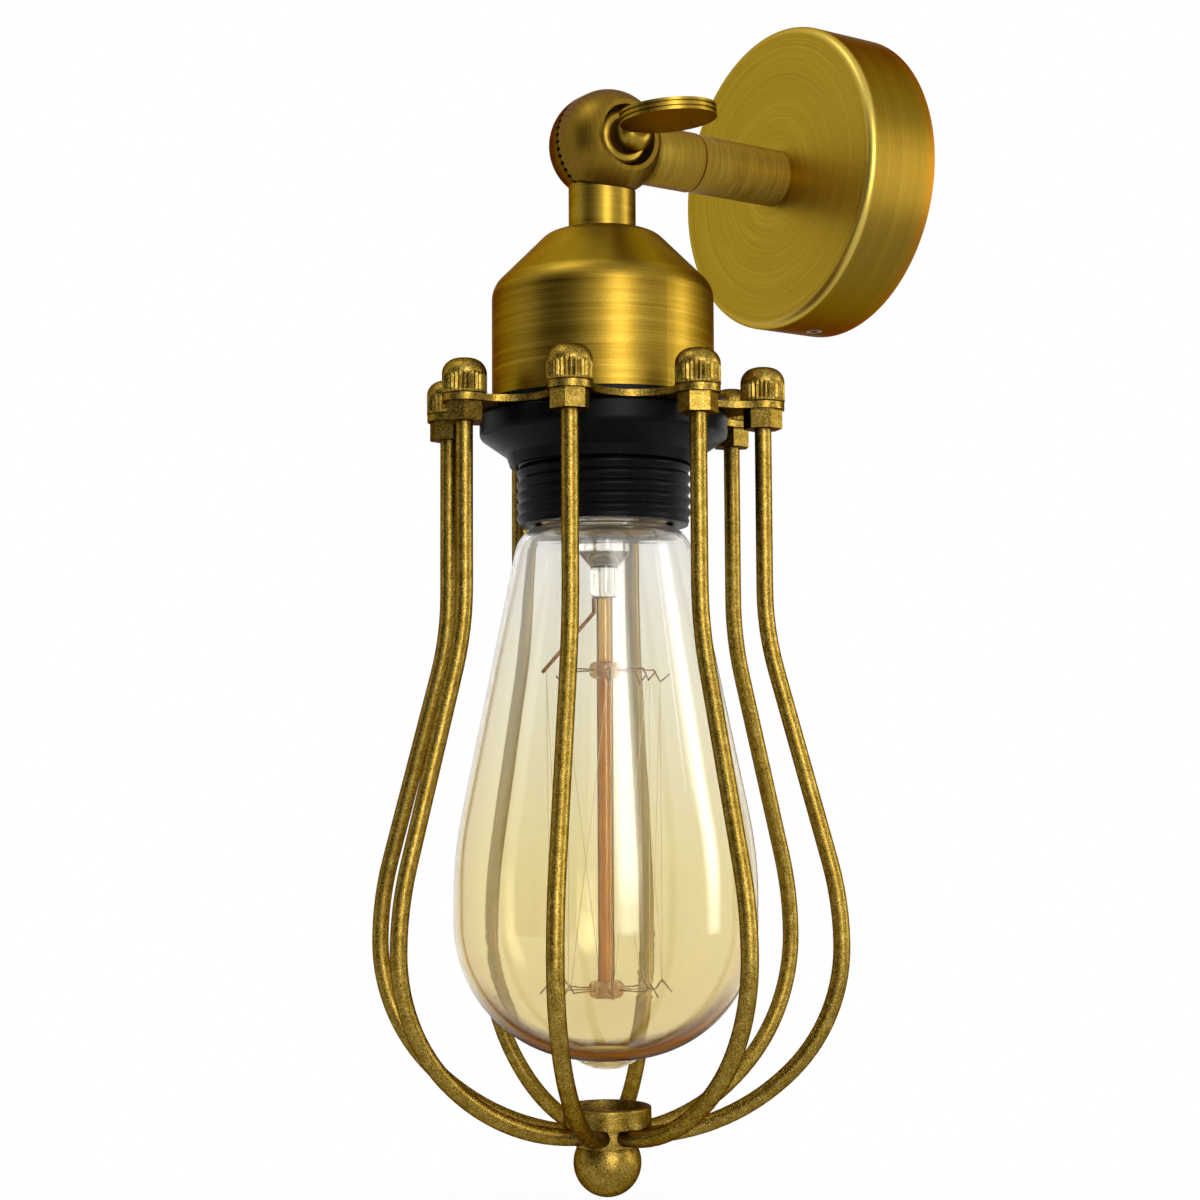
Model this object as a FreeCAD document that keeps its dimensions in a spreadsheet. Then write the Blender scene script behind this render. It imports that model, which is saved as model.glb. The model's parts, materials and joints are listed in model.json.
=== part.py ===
import FreeCAD, Part
import math
import os
import Sketcher
from FreeCAD import Placement, Rotation, Vector

# A cage wall light: a spun canopy on the wall, a short arm, a serrated knuckle with a thumb
# screw, and a lamp head with a brass cup, a threaded lampholder, a squirrel-cage lamp and a
# cage of eight wires.  Millimetres.  The origin is the centre of the canopy's wall face:
# +Y runs into the wall, +Z is up, and the knuckle turns about an axis along X.
# Pieces of the lamp head are drawn about their own axis, z = 0 at the knuckle.

# name, value (mm, degrees or a count), what it sizes
DIMENSIONS = (
    ("arm_reach", 68.3, "wall face to lamp axis"),
    ("gap", 0.3, "room between pieces that move past each other"),
    ("thread_play", 0.05, "radial room in a threaded or plain fit"),
    # canopy and its fixing
    ("canopy_radius", 36, "canopy outside"),
    ("canopy_depth", 19, "canopy, wall to face"),
    ("canopy_wall", 1.2, "canopy sheet"),
    ("canopy_edge", 1.8, "rounding of the face's rim"),
    ("strap_width", 16, "mounting strap across"),
    ("strap_sheet", 2, "mounting strap thickness"),
    ("strap_rise", 12, "height of the strap's turned ends"),
    ("strap_margin", 1.2, "strap end to canopy wall"),
    ("slot_spacing", 44, "between the two wall screws"),
    ("slot_length", 9, "wall screw slot, end to end"),
    ("slot_radius", 2.2, "half the wall screw slot's width"),
    ("grub_radius", 2, "canopy grub screws"),
    ("grub_length", 7, "canopy grub screws"),
    ("grub_setback", 7, "grub screws from the wall"),
    ("earth_height", 12, "earth screw above the arm axis"),
    ("earth_radius", 1.9, "earth screw shank"),
    ("earth_head", 3.6, "earth screw head radius"),
    ("earth_head_depth", 2.4, "earth screw head"),
    ("earth_washer", 4.6, "earth washer radius"),
    ("earth_washer_sheet", 0.8, "earth washer thickness"),
    # arm
    ("nipple_radius", 5, "threaded nipples outside"),
    ("nipple_bore", 3.6, "threaded nipples inside"),
    ("nipple_tail", 10, "arm nipple behind the canopy face"),
    ("nipple_reach", 6.5, "arm nipple inside the arm tube"),
    ("washer_radius", 11, "washer behind the canopy face"),
    ("washer_sheet", 1.4, "washer behind the canopy face"),
    ("nut_flats", 14, "nipple nuts across flats"),
    ("nut_depth", 4, "nipple nuts"),
    ("tube_radius", 6.7, "arm tube outside"),
    ("stem_radius", 6.9, "knuckle stem"),
    ("stem_reach", 25, "knuckle centre to the stem's end"),
    ("stem_chamfer", 0.6, "bevel at the stem's end"),
    ("spigot_length", 6, "stem spigot inside the arm tube"),
    ("lead_radius", 2.6, "passage for the leads"),
    # knuckle
    ("ball_radius", 12, "knuckle ball"),
    ("ball_flat", 3, "arm half: its rim keeps its full radius this far from the split plane"),
    ("tooth_count", 46, "serrations on each half"),
    ("tooth_depth", 0.5, "serrations"),
    ("tooth_width", 0.75, "serrations"),
    ("tooth_inner", 8.6, "inside radius of the serrated rim"),
    ("cavity_depth", 5, "hollow behind the serrated rim"),
    ("boss_radius", 4.8, "screw boss inside each half"),
    ("boss_setback", 1.5, "screw boss behind the split plane"),
    ("recess_radius", 7, "recess for the washer"),
    ("recess_wall", 1.1, "lip round the recess"),
    ("recess_floor", 7.4, "recess floor from the split plane"),
    ("lip_reach", 11, "lip from the split plane"),
    ("neck_radius", 7.6, "lamp half's neck"),
    ("neck_reach", 20.4, "knuckle centre to the cup"),
    ("screw_radius", 3, "thumb screw shank"),
    ("screw_depth", 9, "thumb screw past the split plane"),
    ("thumb_washer_radius", 6.6, "washer under the thumb screw"),
    ("thumb_washer_edge", 0.6, "washer under the thumb screw, at its edge"),
    ("thumb_washer_sheet", 2.2, "washer under the thumb screw, in the middle"),
    ("hub_radius", 4.3, "thumb screw hub"),
    ("hub_reach", 16, "hub end from the split plane"),
    ("paddle_radius", 10.6, "thumb screw paddle"),
    ("paddle_sheet", 2.6, "thumb screw paddle"),
    ("paddle_centre", 26, "paddle centre from the split plane"),
    ("paddle_rise", 0.5, "paddle centre above the screw axis"),
    ("paddle_turn", 6, "paddle's turn about the screw axis at rest"),
    ("paddle_groove", 0.5, "groove round the paddle's rim"),
    # cup
    ("cup_wall", 1.2, "cup sheet"),
    ("cup_top", 12.3, "radius of the cup's flat top, before rounding"),
    ("cup_radius", 25, "cup outside"),
    ("cup_shoulder", 33.2, "knuckle centre to the cup's lower shoulder"),
    ("cup_mouth", 59.5, "knuckle centre to the cup's mouth"),
    ("cup_top_round", 5, "rounding of the cup's top"),
    ("cup_shoulder_round", 6, "rounding of the cup's shoulder"),
    ("cup_nipple_length", 19.3, "nipple between the neck and the lampholder"),
    ("cup_nipple_rise", 6.5, "nipple inside the neck"),
    # lampholder
    ("holder_cap_drop", 5.6, "cup top to the lampholder cap"),
    ("holder_collar", 7.5, "lampholder cap collar radius"),
    ("holder_cap_height", 21, "lampholder cap"),
    ("holder_cap_skirt", 9.5, "straight skirt of the lampholder cap"),
    ("holder_wall", 1.6, "lampholder cap wall"),
    ("holder_cap_round", 3, "rounding of the lampholder cap's skirt"),
    ("holder_radius", 19, "lampholder body, thread root"),
    ("thread_radius", 19.5, "lampholder body, thread crest"),
    ("thread_pitch", 2.5, "lampholder thread"),
    ("thread_turns", 6, "ridges seen below the shade ring"),
    ("holder_mouth", 86.7, "knuckle centre to the lampholder's mouth"),
    ("mouth_radius", 15.6, "lampholder bore"),
    ("shelf_radius", 14.3, "shelf that carries the contact carrier"),
    ("shelf_sheet", 1.5, "shelf thickness"),
    ("carrier_height", 8.8, "contact carrier"),
    ("terminal_circle", 10, "terminal screws"),
    ("terminal_radius", 2.2, "terminal screw heads"),
    ("terminal_height", 2.6, "terminal screw heads"),
    ("terminal_count", 3, "terminal screws"),
    ("shell_sheet", 0.5, "screw shell"),
    ("shell_height", 19, "screw shell"),
    ("shell_play", 0.3, "screw shell to lamp cap"),
    ("leaf_width", 5, "centre contact leaf"),
    ("leaf_sheet", 0.5, "centre contact leaf"),
    ("leaf_half", 6, "half the centre contact's length"),
    ("upper_flange_radius", 28, "upper shade ring flange"),
    ("upper_flange", 1, "upper shade ring flange thickness"),
    ("upper_collar_radius", 22.6, "upper shade ring collar"),
    ("upper_collar_height", 6, "upper shade ring collar"),
    ("lower_flange_radius", 27.8, "lower shade ring"),
    ("lower_rim", 4.6, "lower shade ring, height of its rim"),
    ("lower_waist", 21.8, "lower shade ring, waist radius"),
    ("lower_taper", 4.2, "lower shade ring, height of its taper"),
    ("lower_height", 11.1, "lower shade ring"),
    ("lower_foot", 21, "lower shade ring, foot radius"),
    ("lower_rim_round", 1.4, "lower shade ring, rounding under its rim"),
    ("lower_edge_round", 0.4, "lower shade ring, rounding of its top edge"),
    ("ring_play", 0.1, "lower shade ring to the thread"),
    # cage
    ("lobe_count", 8, "wires, lobes and nuts"),
    ("lobe_circle", 36, "circle through the lobes"),
    ("lobe_radius", 4.8, "lobe rounding"),
    ("valley_radius", 27.5, "ring radius between lobes"),
    ("plate_sheet", 1.5, "ring plate"),
    ("plate_bore", 19.9, "ring plate hole"),
    ("wire_radius", 1.85, "cage wires"),
    ("wire_rise", 5, "wire end above the ring plate"),
    ("belly_radius", 51.8, "widest wire centre line"),
    ("belly_drop", 179, "knuckle centre to the widest place"),
    ("flare_angle", 15, "wire slope, from the lamp axis"),
    ("flare_bend", 70, "bend below the ring"),
    ("belly_bend", 70, "bend above the widest place"),
    ("shoulder_bend", 38, "bend below the widest place"),
    ("shoulder_angle", 45, "turn of that bend"),
    ("floor_bend", 50, "bend into the hub"),
    ("wire_end", 5.9, "wire end from the lamp axis"),
    ("cap_nut_radius", 4.9, "knurled cap nuts"),
    ("cap_nut_height", 8, "knurled cap nuts"),
    ("cap_nut_dome", 3.4, "rounding of a cap nut's top"),
    ("knurl_count", 20, "flutes on each cap nut"),
    ("knurl_depth", 0.35, "flutes on each cap nut"),
    ("hex_flats", 7.5, "hexagon nuts across flats"),
    ("hex_height", 4.2, "hexagon nuts"),
    ("hub_cup_radius", 9.7, "cage hub"),
    ("hub_cup_bore", 7.7, "cage hub's hollow"),
    ("hub_cup_height", 4.2, "cage hub above the wires"),
    ("hub_cup_depth", 3, "cage hub's hollow"),
    ("hub_edge_round", 0.5, "rounding of the hub's rim"),
    ("hub_core_radius", 7, "cage hub between the wires"),
    ("hub_core_skin", 0.5, "hub core below the wires"),
    ("finial_radius", 7.45, "ball finial"),
    ("finial_drop", 3.6, "hub to the ball's centre"),
    ("finial_screw_radius", 1.6, "finial screw"),
    ("finial_head_radius", 2.8, "finial screw head"),
    ("finial_head_height", 1.6, "finial screw head"),
    ("finial_screw_length", 9.5, "finial screw below its head"),
    # lamp
    ("lamp_cap_radius", 13, "lamp cap"),
    ("lamp_cap_wall", 0.5, "lamp cap"),
    ("lamp_cap_skirt", 14.4, "lamp cap skirt"),
    ("lamp_cap_edge", 85.6, "knuckle centre to the cap's lower edge"),
    ("lamp_cap_height", 20.5, "lamp cap"),
    ("insulator_height", 3, "lamp cap insulator"),
    ("button_radius", 4.8, "lamp contact"),
    ("button_height", 1.2, "lamp contact"),
    ("glass_wall", 0.9, "lamp glass"),
    ("glass_neck", 12.2, "lamp glass in its cap"),
    ("glass_top", 15, "lamp glass inside its cap"),
    ("glass_step", 0.4, "straight neck below the cap's edge"),
    ("glass_shoulder", 19.1, "lamp glass below the mouth"),
    ("glass_radius", 33.6, "lamp glass"),
    ("glass_shoulder_drop", 2.9, "cap edge to the glass shoulder"),
    ("glass_waist_drop", 71, "shoulder to the end of the cone"),
    ("glass_bottom", 204.2, "knuckle centre to the glass's foot"),
    ("glass_crown", 30, "rounding of the glass's foot"),
    ("glass_cheek", 90, "rounding where the cone ends"),
    ("glass_neck_round", 7, "rounding of the shoulder"),
    ("tip_radius", 7.3, "shallow bowl under the glass"),
    ("tip_height", 2.3, "shallow bowl under the glass"),
    ("stem_foot", 103, "knuckle centre to the foot of the glass stem"),
    ("stem_tube", 3.1, "glass stem, at its foot"),
    ("stem_bulb", 5.6, "glass stem, above its foot"),
    ("stem_shoulder", 93, "knuckle centre to the end of the stem's wide part"),
    ("stem_taper", 3, "height of the taper below it"),
    ("flare_room", 0.1, "stem's flare to the inside of the neck"),
    ("flare_edge", 1, "thickness of the flare's rim"),
    ("rod_radius", 1.8, "glass rod"),
    ("rod_foot", 190.6, "knuckle centre to the rod's foot"),
    ("upper_support", 16, "upper hooks below the stem"),
    ("lower_support", 1.4, "lower hooks above the rod's foot"),
    ("upper_bead", 3.4, "bead that holds the upper hooks"),
    ("lower_bead", 3.9, "bead that holds the lower hooks"),
    ("bead_height", 3.8, "both beads"),
    ("bead_round", 1.3, "rounding of both beads"),
    ("hook_places", 8, "places for hooks round each bead; the leads take one upper place"),
    ("hook_turn", -118.7, "place of the leads, from the X axis"),
    ("hook_radius", 0.16, "hook wire"),
    ("hook_root", 0.8, "hook inside its bead"),
    ("hook_run", 11, "lamp axis to the bend before a hook's crook"),
    ("crook_run", 1.4, "that bend to the middle of the crook"),
    ("tip_run", 3.5, "that bend to the hook's tip"),
    ("upper_crook", -2.6, "middle of an upper crook, above the hook's run"),
    ("upper_tip", -0.8, "tip of an upper hook, above the hook's run"),
    ("lower_crook", 1.8, "middle of a lower crook, above the hook's run"),
    ("lower_tip", -0.8, "tip of a lower hook, above the hook's run"),
    ("filament_radius", 0.06, "filament"),
    ("filament_side", 1.6, "half the angle between a strand and the next at a hook"),
    ("lead_wire", 0.4, "lead wires in the lamp"),
    ("lead_angle", 9, "half the angle between the two leads"),
    ("lead_root", 2.4, "leads from the axis, at the foot of the stem"),
    ("lead_drop", 3.2, "straight part of the leads below the stem"),
    ("lead_reach", 14, "leads' ends from the axis"),
    ("lead_foot", 16.4, "leads' ends below the stem"),
)

doc = FreeCAD.newDocument("cage_wall_light")
sheet = doc.addObject("Spreadsheet::Sheet", "dims")
nodes = []
cuts = []


def fill_sheet():
    for row, (alias, value, meaning) in enumerate(DIMENSIONS, start=1):
        sheet.set("A%d" % row, meaning)
        sheet.set("B%d" % row, str(value))
        sheet.setAlias("B%d" % row, alias)
    doc.recompute()


class Size:
    """A length or angle as the sheet's expression, with its value now."""

    def __init__(self, text, value):
        self.text = text
        self.value = float(value)

    def __add__(self, other):
        return joined(self, "+", other)

    def __radd__(self, other):
        return joined(other, "+", self)

    def __sub__(self, other):
        return joined(self, "-", other)

    def __rsub__(self, other):
        return joined(other, "-", self)

    def __mul__(self, other):
        return joined(self, "*", other)

    def __rmul__(self, other):
        return joined(other, "*", self)

    def __truediv__(self, other):
        return joined(self, "/", other)

    def __rtruediv__(self, other):
        return joined(other, "/", self)

    def __neg__(self):
        return joined(0, "-", self)


def as_size(number):
    if isinstance(number, Size):
        return number
    return Size(repr(float(number)), number)


def joined(first, sign, second):
    first = as_size(first)
    second = as_size(second)
    if sign == "+":
        value = first.value + second.value
    elif sign == "-":
        value = first.value - second.value
    elif sign == "*":
        value = first.value * second.value
    else:
        value = first.value / second.value
    return Size("(%s %s %s)" % (first.text, sign, second.text), value)


def sine(angle):
    angle = as_size(angle)
    return Size("sin(%s * 1 deg)" % angle.text, math.sin(math.radians(angle.value)))


def cosine(angle):
    angle = as_size(angle)
    return Size("cos(%s * 1 deg)" % angle.text, math.cos(math.radians(angle.value)))


def tangent(angle):
    return sine(angle) / cosine(angle)


def root(square):
    return Size("sqrt(%s)" % square.text, math.sqrt(square.value))


def dim(alias):
    return Size("dims.%s" % alias, sheet.get(alias))


def count(alias):
    return int(round(sheet.get(alias)))


# ---- sketches --------------------------------------------------------------------------


class Bend:
    """An arc between two corners: turn is +1 anticlockwise, -1 clockwise."""

    def __init__(self, radius, turn):
        self.radius = as_size(radius)
        self.turn = turn


def origin_plane(body, role):
    for feature in body.Origin.OriginFeatures:
        if feature.Role == role:
            return feature
    raise ValueError(role)


def new_body(name, on_lamp=False, spin=0.0):
    """A body; lamp pieces stand on the lamp axis, turned about it by spin degrees."""
    body = doc.addObject("PartDesign::Body", name)
    body.Label = name
    body.Placement = Placement(Vector(0, 0, 0), Rotation(Vector(0, 0, 1), spin))
    if on_lamp:
        body.setExpression("Placement.Base.y", (-dim("arm_reach")).text)
    nodes.append(body)
    return body


def turn_about_x(body, alias):
    """Turns a lamp piece about the knuckle's axis."""
    turn = Rotation(Vector(1, 0, 0), sheet.get(alias))
    body.Placement = Placement(body.Placement.Base, turn)
    body.setExpression("Placement.Rotation.Angle", "dims.%s * 1 deg" % alias)


def new_sketch(body, plane, shift=(0, 0, 0)):
    """A sketch on one of the body's planes, shifted in the sketch's own x, y and normal."""
    sketch = body.newObject("Sketcher::SketchObject", body.Name + "_sketch")
    sketch.AttachmentSupport = (origin_plane(body, plane + "_Plane"), [""])
    sketch.MapMode = "FlatFace"
    values = [as_size(part) for part in shift]
    sketch.AttachmentOffset = Placement(Vector(*[part.value for part in values]), Rotation())
    for letter, part in zip("xyz", values):
        if part.text != "0.0":
            sketch.setExpression("AttachmentOffset.Base." + letter, part.text)
    return sketch


def pin_length(sketch, constraint, size):
    index = sketch.addConstraint(constraint)
    if "dims" in size.text:
        sketch.setExpression("Constraints[%d]" % index, size.text)


def pin_point(sketch, geometry, end, x, y):
    """Places a point of the sketch by its two coordinates."""
    for kind, axis, size in (("DistanceX", -2, x), ("DistanceY", -1, y)):
        if size.text == "0.0":
            sketch.addConstraint(Sketcher.Constraint("PointOnObject", geometry, end, axis))
        else:
            rule = Sketcher.Constraint(kind, -1, 1, geometry, end, size.value)
            pin_length(sketch, rule, size)


def arc_through(start, end, radius, turn):
    """The arc of under half a turn from start to end; returns it and its end numbers."""
    half = (end - start) * 0.5
    rise = math.sqrt(max(radius * radius - half.Length * half.Length, 0.0))
    side = Vector(-half.y, half.x, 0).normalize() * turn
    centre = start + half + side * rise
    first, last = (start, end) if turn > 0 else (end, start)
    begin = math.atan2(first.y - centre.y, first.x - centre.x)
    finish = math.atan2(last.y - centre.y, last.x - centre.x)
    if finish < begin:
        finish += 2 * math.pi
    circle = Part.Circle(centre, Vector(0, 0, 1), radius)
    ends = (1, 2) if turn > 0 else (2, 1)
    return Part.ArcOfCircle(circle, begin, finish), ends


def rounded_corner(before, corner, after, radius):
    """Where a rounding of this radius leaves the two straight edges, and which way it turns."""
    back = (before - corner).normalize()
    ahead = (after - corner).normalize()
    half_angle = back.getAngle(ahead) / 2
    length = radius / math.tan(half_angle)
    turn = 1 if (corner - before).cross(after - corner).z > 0 else -1
    return corner + back * length, corner + ahead * length, turn


def draw(sketch, items, closed=True):
    """Draws an outline: corners (x, y) or (x, y, rounding), with a Bend between corners."""
    corners = []
    bends = {}
    for item in items:
        if isinstance(item, Bend):
            bends[len(corners) - 1] = item
        else:
            corners.append([as_size(part) for part in item])
    total = len(corners)
    spots = [Vector(corner[0].value, corner[1].value, 0) for corner in corners]
    starts = list(spots)
    ends = list(spots)
    turns = {}
    for i, corner in enumerate(corners):
        if len(corner) == 3:
            before = spots[i - 1]
            after = spots[(i + 1) % total]
            found = rounded_corner(before, spots[i], after, corner[2].value)
            ends[i], starts[i], turns[i] = found
    edges = []
    for i in range(total if closed else total - 1):
        j = (i + 1) % total
        if i in bends:
            shape, sides = arc_through(starts[i], ends[j], bends[i].radius.value, bends[i].turn)
            edge = sketch.addGeometry(shape, False)
            radius = bends[i].radius
            rule = Sketcher.Constraint("Radius", edge, radius.value)
            pin_length(sketch, rule, radius)
        else:
            edge = sketch.addGeometry(Part.LineSegment(starts[i], ends[j]), False)
            sides = (1, 2)
        edges.append((edge, sides))
    for i, corner in enumerate(corners):
        if not closed and i in (0, total - 1):
            edge, sides = edges[0] if i == 0 else edges[-1]
            pin_point(sketch, edge, sides[0] if i == 0 else sides[1], corner[0], corner[1])
            continue
        last, last_sides = edges[i - 1]
        edge, sides = edges[i]
        if i in turns:
            round_off(sketch, corner, spots[i], (last, edge), (ends[i], starts[i]), turns[i])
        else:
            join = Sketcher.Constraint("Coincident", last, last_sides[1], edge, sides[0])
            sketch.addConstraint(join)
            pin_point(sketch, edge, sides[0], corner[0], corner[1])
    return sketch


def round_off(sketch, corner, spot, lines, touches, turn):
    """Rounds the corner of two lines with an arc tangent to both."""
    shape, sides = arc_through(touches[0], touches[1], corner[2].value, turn)
    arc = sketch.addGeometry(shape, False)
    point = sketch.addGeometry(Part.Point(spot), True)
    pin_point(sketch, point, 1, corner[0], corner[1])
    for line in lines:
        sketch.addConstraint(Sketcher.Constraint("PointOnObject", point, 1, line))
    sketch.addConstraint(Sketcher.Constraint("Tangent", lines[0], 2, arc, sides[0]))
    sketch.addConstraint(Sketcher.Constraint("Tangent", arc, sides[1], lines[1], 1))
    pin_length(sketch, Sketcher.Constraint("Radius", arc, corner[2].value), corner[2])


def draw_circle(sketch, x, y, radius):
    x, y, radius = as_size(x), as_size(y), as_size(radius)
    circle = Part.Circle(Vector(x.value, y.value, 0), Vector(0, 0, 1), radius.value)
    edge = sketch.addGeometry(circle, False)
    pin_point(sketch, edge, 3, x, y)
    pin_length(sketch, Sketcher.Constraint("Radius", edge, radius.value), radius)
    return sketch


# ---- features --------------------------------------------------------------------------


def turned(body, axis, corners, cut=False):
    """Revolves (radius, along) corners about the body's X, Y or Z axis."""
    plane = {"X": "XZ", "Y": "XY", "Z": "XZ"}[axis]
    if axis == "X":
        swapped = []
        for item in corners:
            if isinstance(item, Bend):
                swapped.append(Bend(item.radius, -item.turn))
            else:
                swapped.append((item[1], item[0]) + tuple(item[2:]))
        corners = swapped
    sketch = draw(new_sketch(body, plane), corners)
    kind = "PartDesign::Groove" if cut else "PartDesign::Revolution"
    feature = body.newObject(kind, body.Name + "_turned")
    feature.Profile = sketch
    feature.ReferenceAxis = (sketch, ["H_Axis" if axis == "X" else "V_Axis"])
    feature.Angle = 360
    body.Tip = feature
    return feature


def padded(body, sketch, length, both_ways=False, reverse=False):
    feature = body.newObject("PartDesign::Pad", body.Name + "_pad")
    feature.Profile = sketch
    length = as_size(length)
    feature.Length = length.value
    feature.setExpression("Length", length.text)
    feature.SideType = "Symmetric" if both_ways else "One side"
    feature.Reversed = reverse
    body.Tip = feature
    return feature


def pocketed(body, sketch, length, both_ways=False, reverse=False):
    """Cuts below the sketch; reverse cuts above it."""
    feature = body.newObject("PartDesign::Pocket", body.Name + "_pocket")
    feature.Profile = sketch
    length = as_size(length)
    feature.Length = length.value
    feature.setExpression("Length", length.text)
    feature.SideType = "Symmetric" if both_ways else "One side"
    feature.Reversed = reverse
    body.Tip = feature
    cuts.append(feature)
    return feature


def repeated(body, feature, axis, copies, whole=False):
    """Repeats a feature, or the whole body, round an axis."""
    pattern = body.newObject("PartDesign::PolarPattern", body.Name + "_pattern")
    pattern.Originals = [feature]
    if whole:
        pattern.TransformMode = "Whole shape"
    pattern.Axis = axis
    pattern.Angle = 360
    pattern.Occurrences = count(copies)
    pattern.setExpression("Occurrences", "dims." + copies)
    body.Tip = pattern
    return pattern


def axis_of(body, letter):
    return (origin_plane(body, letter + "_Axis"), [""])


def ring_body(name, axis, inner, outer, low, high, on_lamp=False):
    """A plain ring or, with no inner radius, a disc."""
    body = new_body(name, on_lamp)
    turned(body, axis, [(inner, low), (outer, low), (outer, high), (inner, high)])
    return body


def hexagon(flats, x=0, y=0):
    corner_radius = flats / (2 * cosine(30))
    corners = []
    for k in range(6):
        corners.append((corner_radius * cosine(60 * k) + x, corner_radius * sine(60 * k) + y))
    return corners


# ---- canopy and arm --------------------------------------------------------------------


def wall_canopy():
    """Spun shell, open at the wall, with the arm's hole and two grub screw holes."""
    body = new_body("wall_canopy")
    radius, depth, wall = dim("canopy_radius"), dim("canopy_depth"), dim("canopy_wall")
    hole = dim("nipple_radius") + dim("thread_play")
    edge = dim("canopy_edge")
    turned(body, "Y", [
        (hole, -depth),
        (radius, -depth, edge),
        (radius, 0),
        (radius - wall, 0),
        (radius - wall, wall - depth, edge - wall),
        (hole, wall - depth),
    ])
    sketch = new_sketch(body, "XY")
    draw_circle(sketch, 0, -dim("grub_setback"), dim("grub_radius") + dim("thread_play"))
    pocketed(body, sketch, 2 * radius + 2, both_ways=True)


def strap_half():
    """Half the strap's height."""
    return dim("canopy_radius") - dim("canopy_wall") - dim("strap_margin")


def mounting_strap():
    """Steel strap on the wall: slots for the wall screws and turned ends for the canopy."""
    body = new_body("mounting_strap")
    sheet_size, rise, half = dim("strap_sheet"), dim("strap_rise"), strap_half()
    bend = sheet_size * 1.2
    sketch = draw(new_sketch(body, "YZ"), [
        (0, -half, bend),
        (0, half, bend),
        (-rise, half),
        (-rise, half - sheet_size),
        (-sheet_size, half - sheet_size),
        (-sheet_size, sheet_size - half),
        (-rise, sheet_size - half),
        (-rise, -half),
    ])
    padded(body, sketch, dim("strap_width"), both_ways=True)
    sketch = new_sketch(body, "XZ")
    radius = dim("slot_radius")
    straight = dim("slot_length") / 2 - radius
    for side in (-1, 1):
        middle = dim("slot_spacing") / 2 * side
        draw(sketch, [
            (radius, middle - straight),
            (radius, middle + straight),
            Bend(radius, 1),
            (0, middle + straight + radius),
            Bend(radius, 1),
            (-radius, middle + straight),
            (-radius, middle - straight),
            Bend(radius, 1),
            (0, middle - straight - radius),
            Bend(radius, 1),
        ])
    pocketed(body, sketch, 2 * rise, both_ways=True)
    sketch = new_sketch(body, "XZ")
    draw_circle(sketch, 0, dim("earth_height"), dim("earth_radius") + dim("thread_play"))
    pocketed(body, sketch, 2 * rise, both_ways=True)
    sketch = new_sketch(body, "XY")
    draw_circle(sketch, 0, -dim("grub_setback"), dim("grub_radius") + dim("thread_play"))
    pocketed(body, sketch, 2 * half + 2, both_ways=True)


def canopy_screws():
    """Two grub screws, flush with the rim, that hold the canopy to the strap's ends."""
    body = new_body("canopy_screws")
    body.AllowCompound = True
    outer = dim("canopy_radius") - dim("thread_play") * 2
    for side in (1, -1):
        start = new_sketch(body, "XY", (0, 0, outer * side))
        draw_circle(start, 0, -dim("grub_setback"), dim("grub_radius"))
        padded(body, start, dim("grub_length"), reverse=side > 0)
    socket = new_sketch(body, "XY", (0, 0, outer))
    draw(socket, hexagon(dim("grub_radius"), y=-dim("grub_setback")))
    pocketed(body, socket, dim("grub_radius"))
    socket = new_sketch(body, "XY", (0, 0, -outer))
    draw(socket, hexagon(dim("grub_radius"), y=-dim("grub_setback")))
    pocketed(body, socket, dim("grub_radius"), reverse=True)


def earth_fixing():
    """Earth screw and its washer on the strap."""
    height, seat = dim("earth_height"), dim("strap_sheet")
    washer = new_body("earth_washer")
    washer.setExpression("Placement.Base.z", height.text)
    hole = dim("earth_radius") + dim("thread_play")
    top = seat + dim("earth_washer_sheet")
    turned(washer, "Y", [
        (hole, -seat), (dim("earth_washer"), -seat), (dim("earth_washer"), -top), (hole, -top),
    ])
    screw = new_body("earth_screw")
    screw.setExpression("Placement.Base.z", height.text)
    head, depth = dim("earth_head"), dim("earth_head_depth")
    turned(screw, "Y", [
        (0, -dim("thread_play")),
        (dim("earth_radius"), -dim("thread_play")),
        (dim("earth_radius"), -top),
        (head, -top),
        (head, -top - depth * 0.6),
        (head * 0.8, -top - depth),
        (0, -top - depth),
    ])
    slot = new_sketch(screw, "XZ", (0, 0, top + depth))
    width = head / 5
    draw(slot, [(-head, -width), (head, -width), (head, width), (-head, width)])
    pocketed(screw, slot, depth / 2)


def arm_hardware():
    """The nipple through the canopy's face, with its washer and nut behind."""
    radius, play = dim("nipple_radius"), dim("thread_play")
    face = dim("canopy_depth")
    behind = face - dim("canopy_wall")
    low, high = -face - dim("nipple_reach"), dim("nipple_tail") - face
    ring_body("arm_nipple", "Y", dim("nipple_bore"), radius, low, high)
    seat = dim("washer_sheet") - behind
    ring_body("nipple_washer", "Y", radius + play, dim("washer_radius"), -behind, seat)
    nut = new_body("nipple_nut")
    sketch = draw(new_sketch(nut, "XZ", (0, 0, -seat)), hexagon(dim("nut_flats")))
    draw_circle(sketch, 0, 0, radius + play)
    padded(nut, sketch, dim("nut_depth"), reverse=True)


def arm_tube():
    """The arm, from the canopy's face to the knuckle's stem."""
    bore = dim("nipple_radius") + dim("thread_play")
    near, far = -dim("canopy_depth"), dim("stem_reach") - dim("arm_reach")
    ring_body("arm_tube", "Y", bore, dim("tube_radius"), far, near)


# ---- knuckle ---------------------------------------------------------------------------


def arm_half_round():
    """Radius of the arc from the arm half's rim to the lip of its recess."""
    run = dim("lip_reach") - dim("ball_flat")
    drop = dim("ball_radius") - dim("recess_radius") - dim("recess_wall")
    return (run * run + drop * drop) / (2 * drop)


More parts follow.
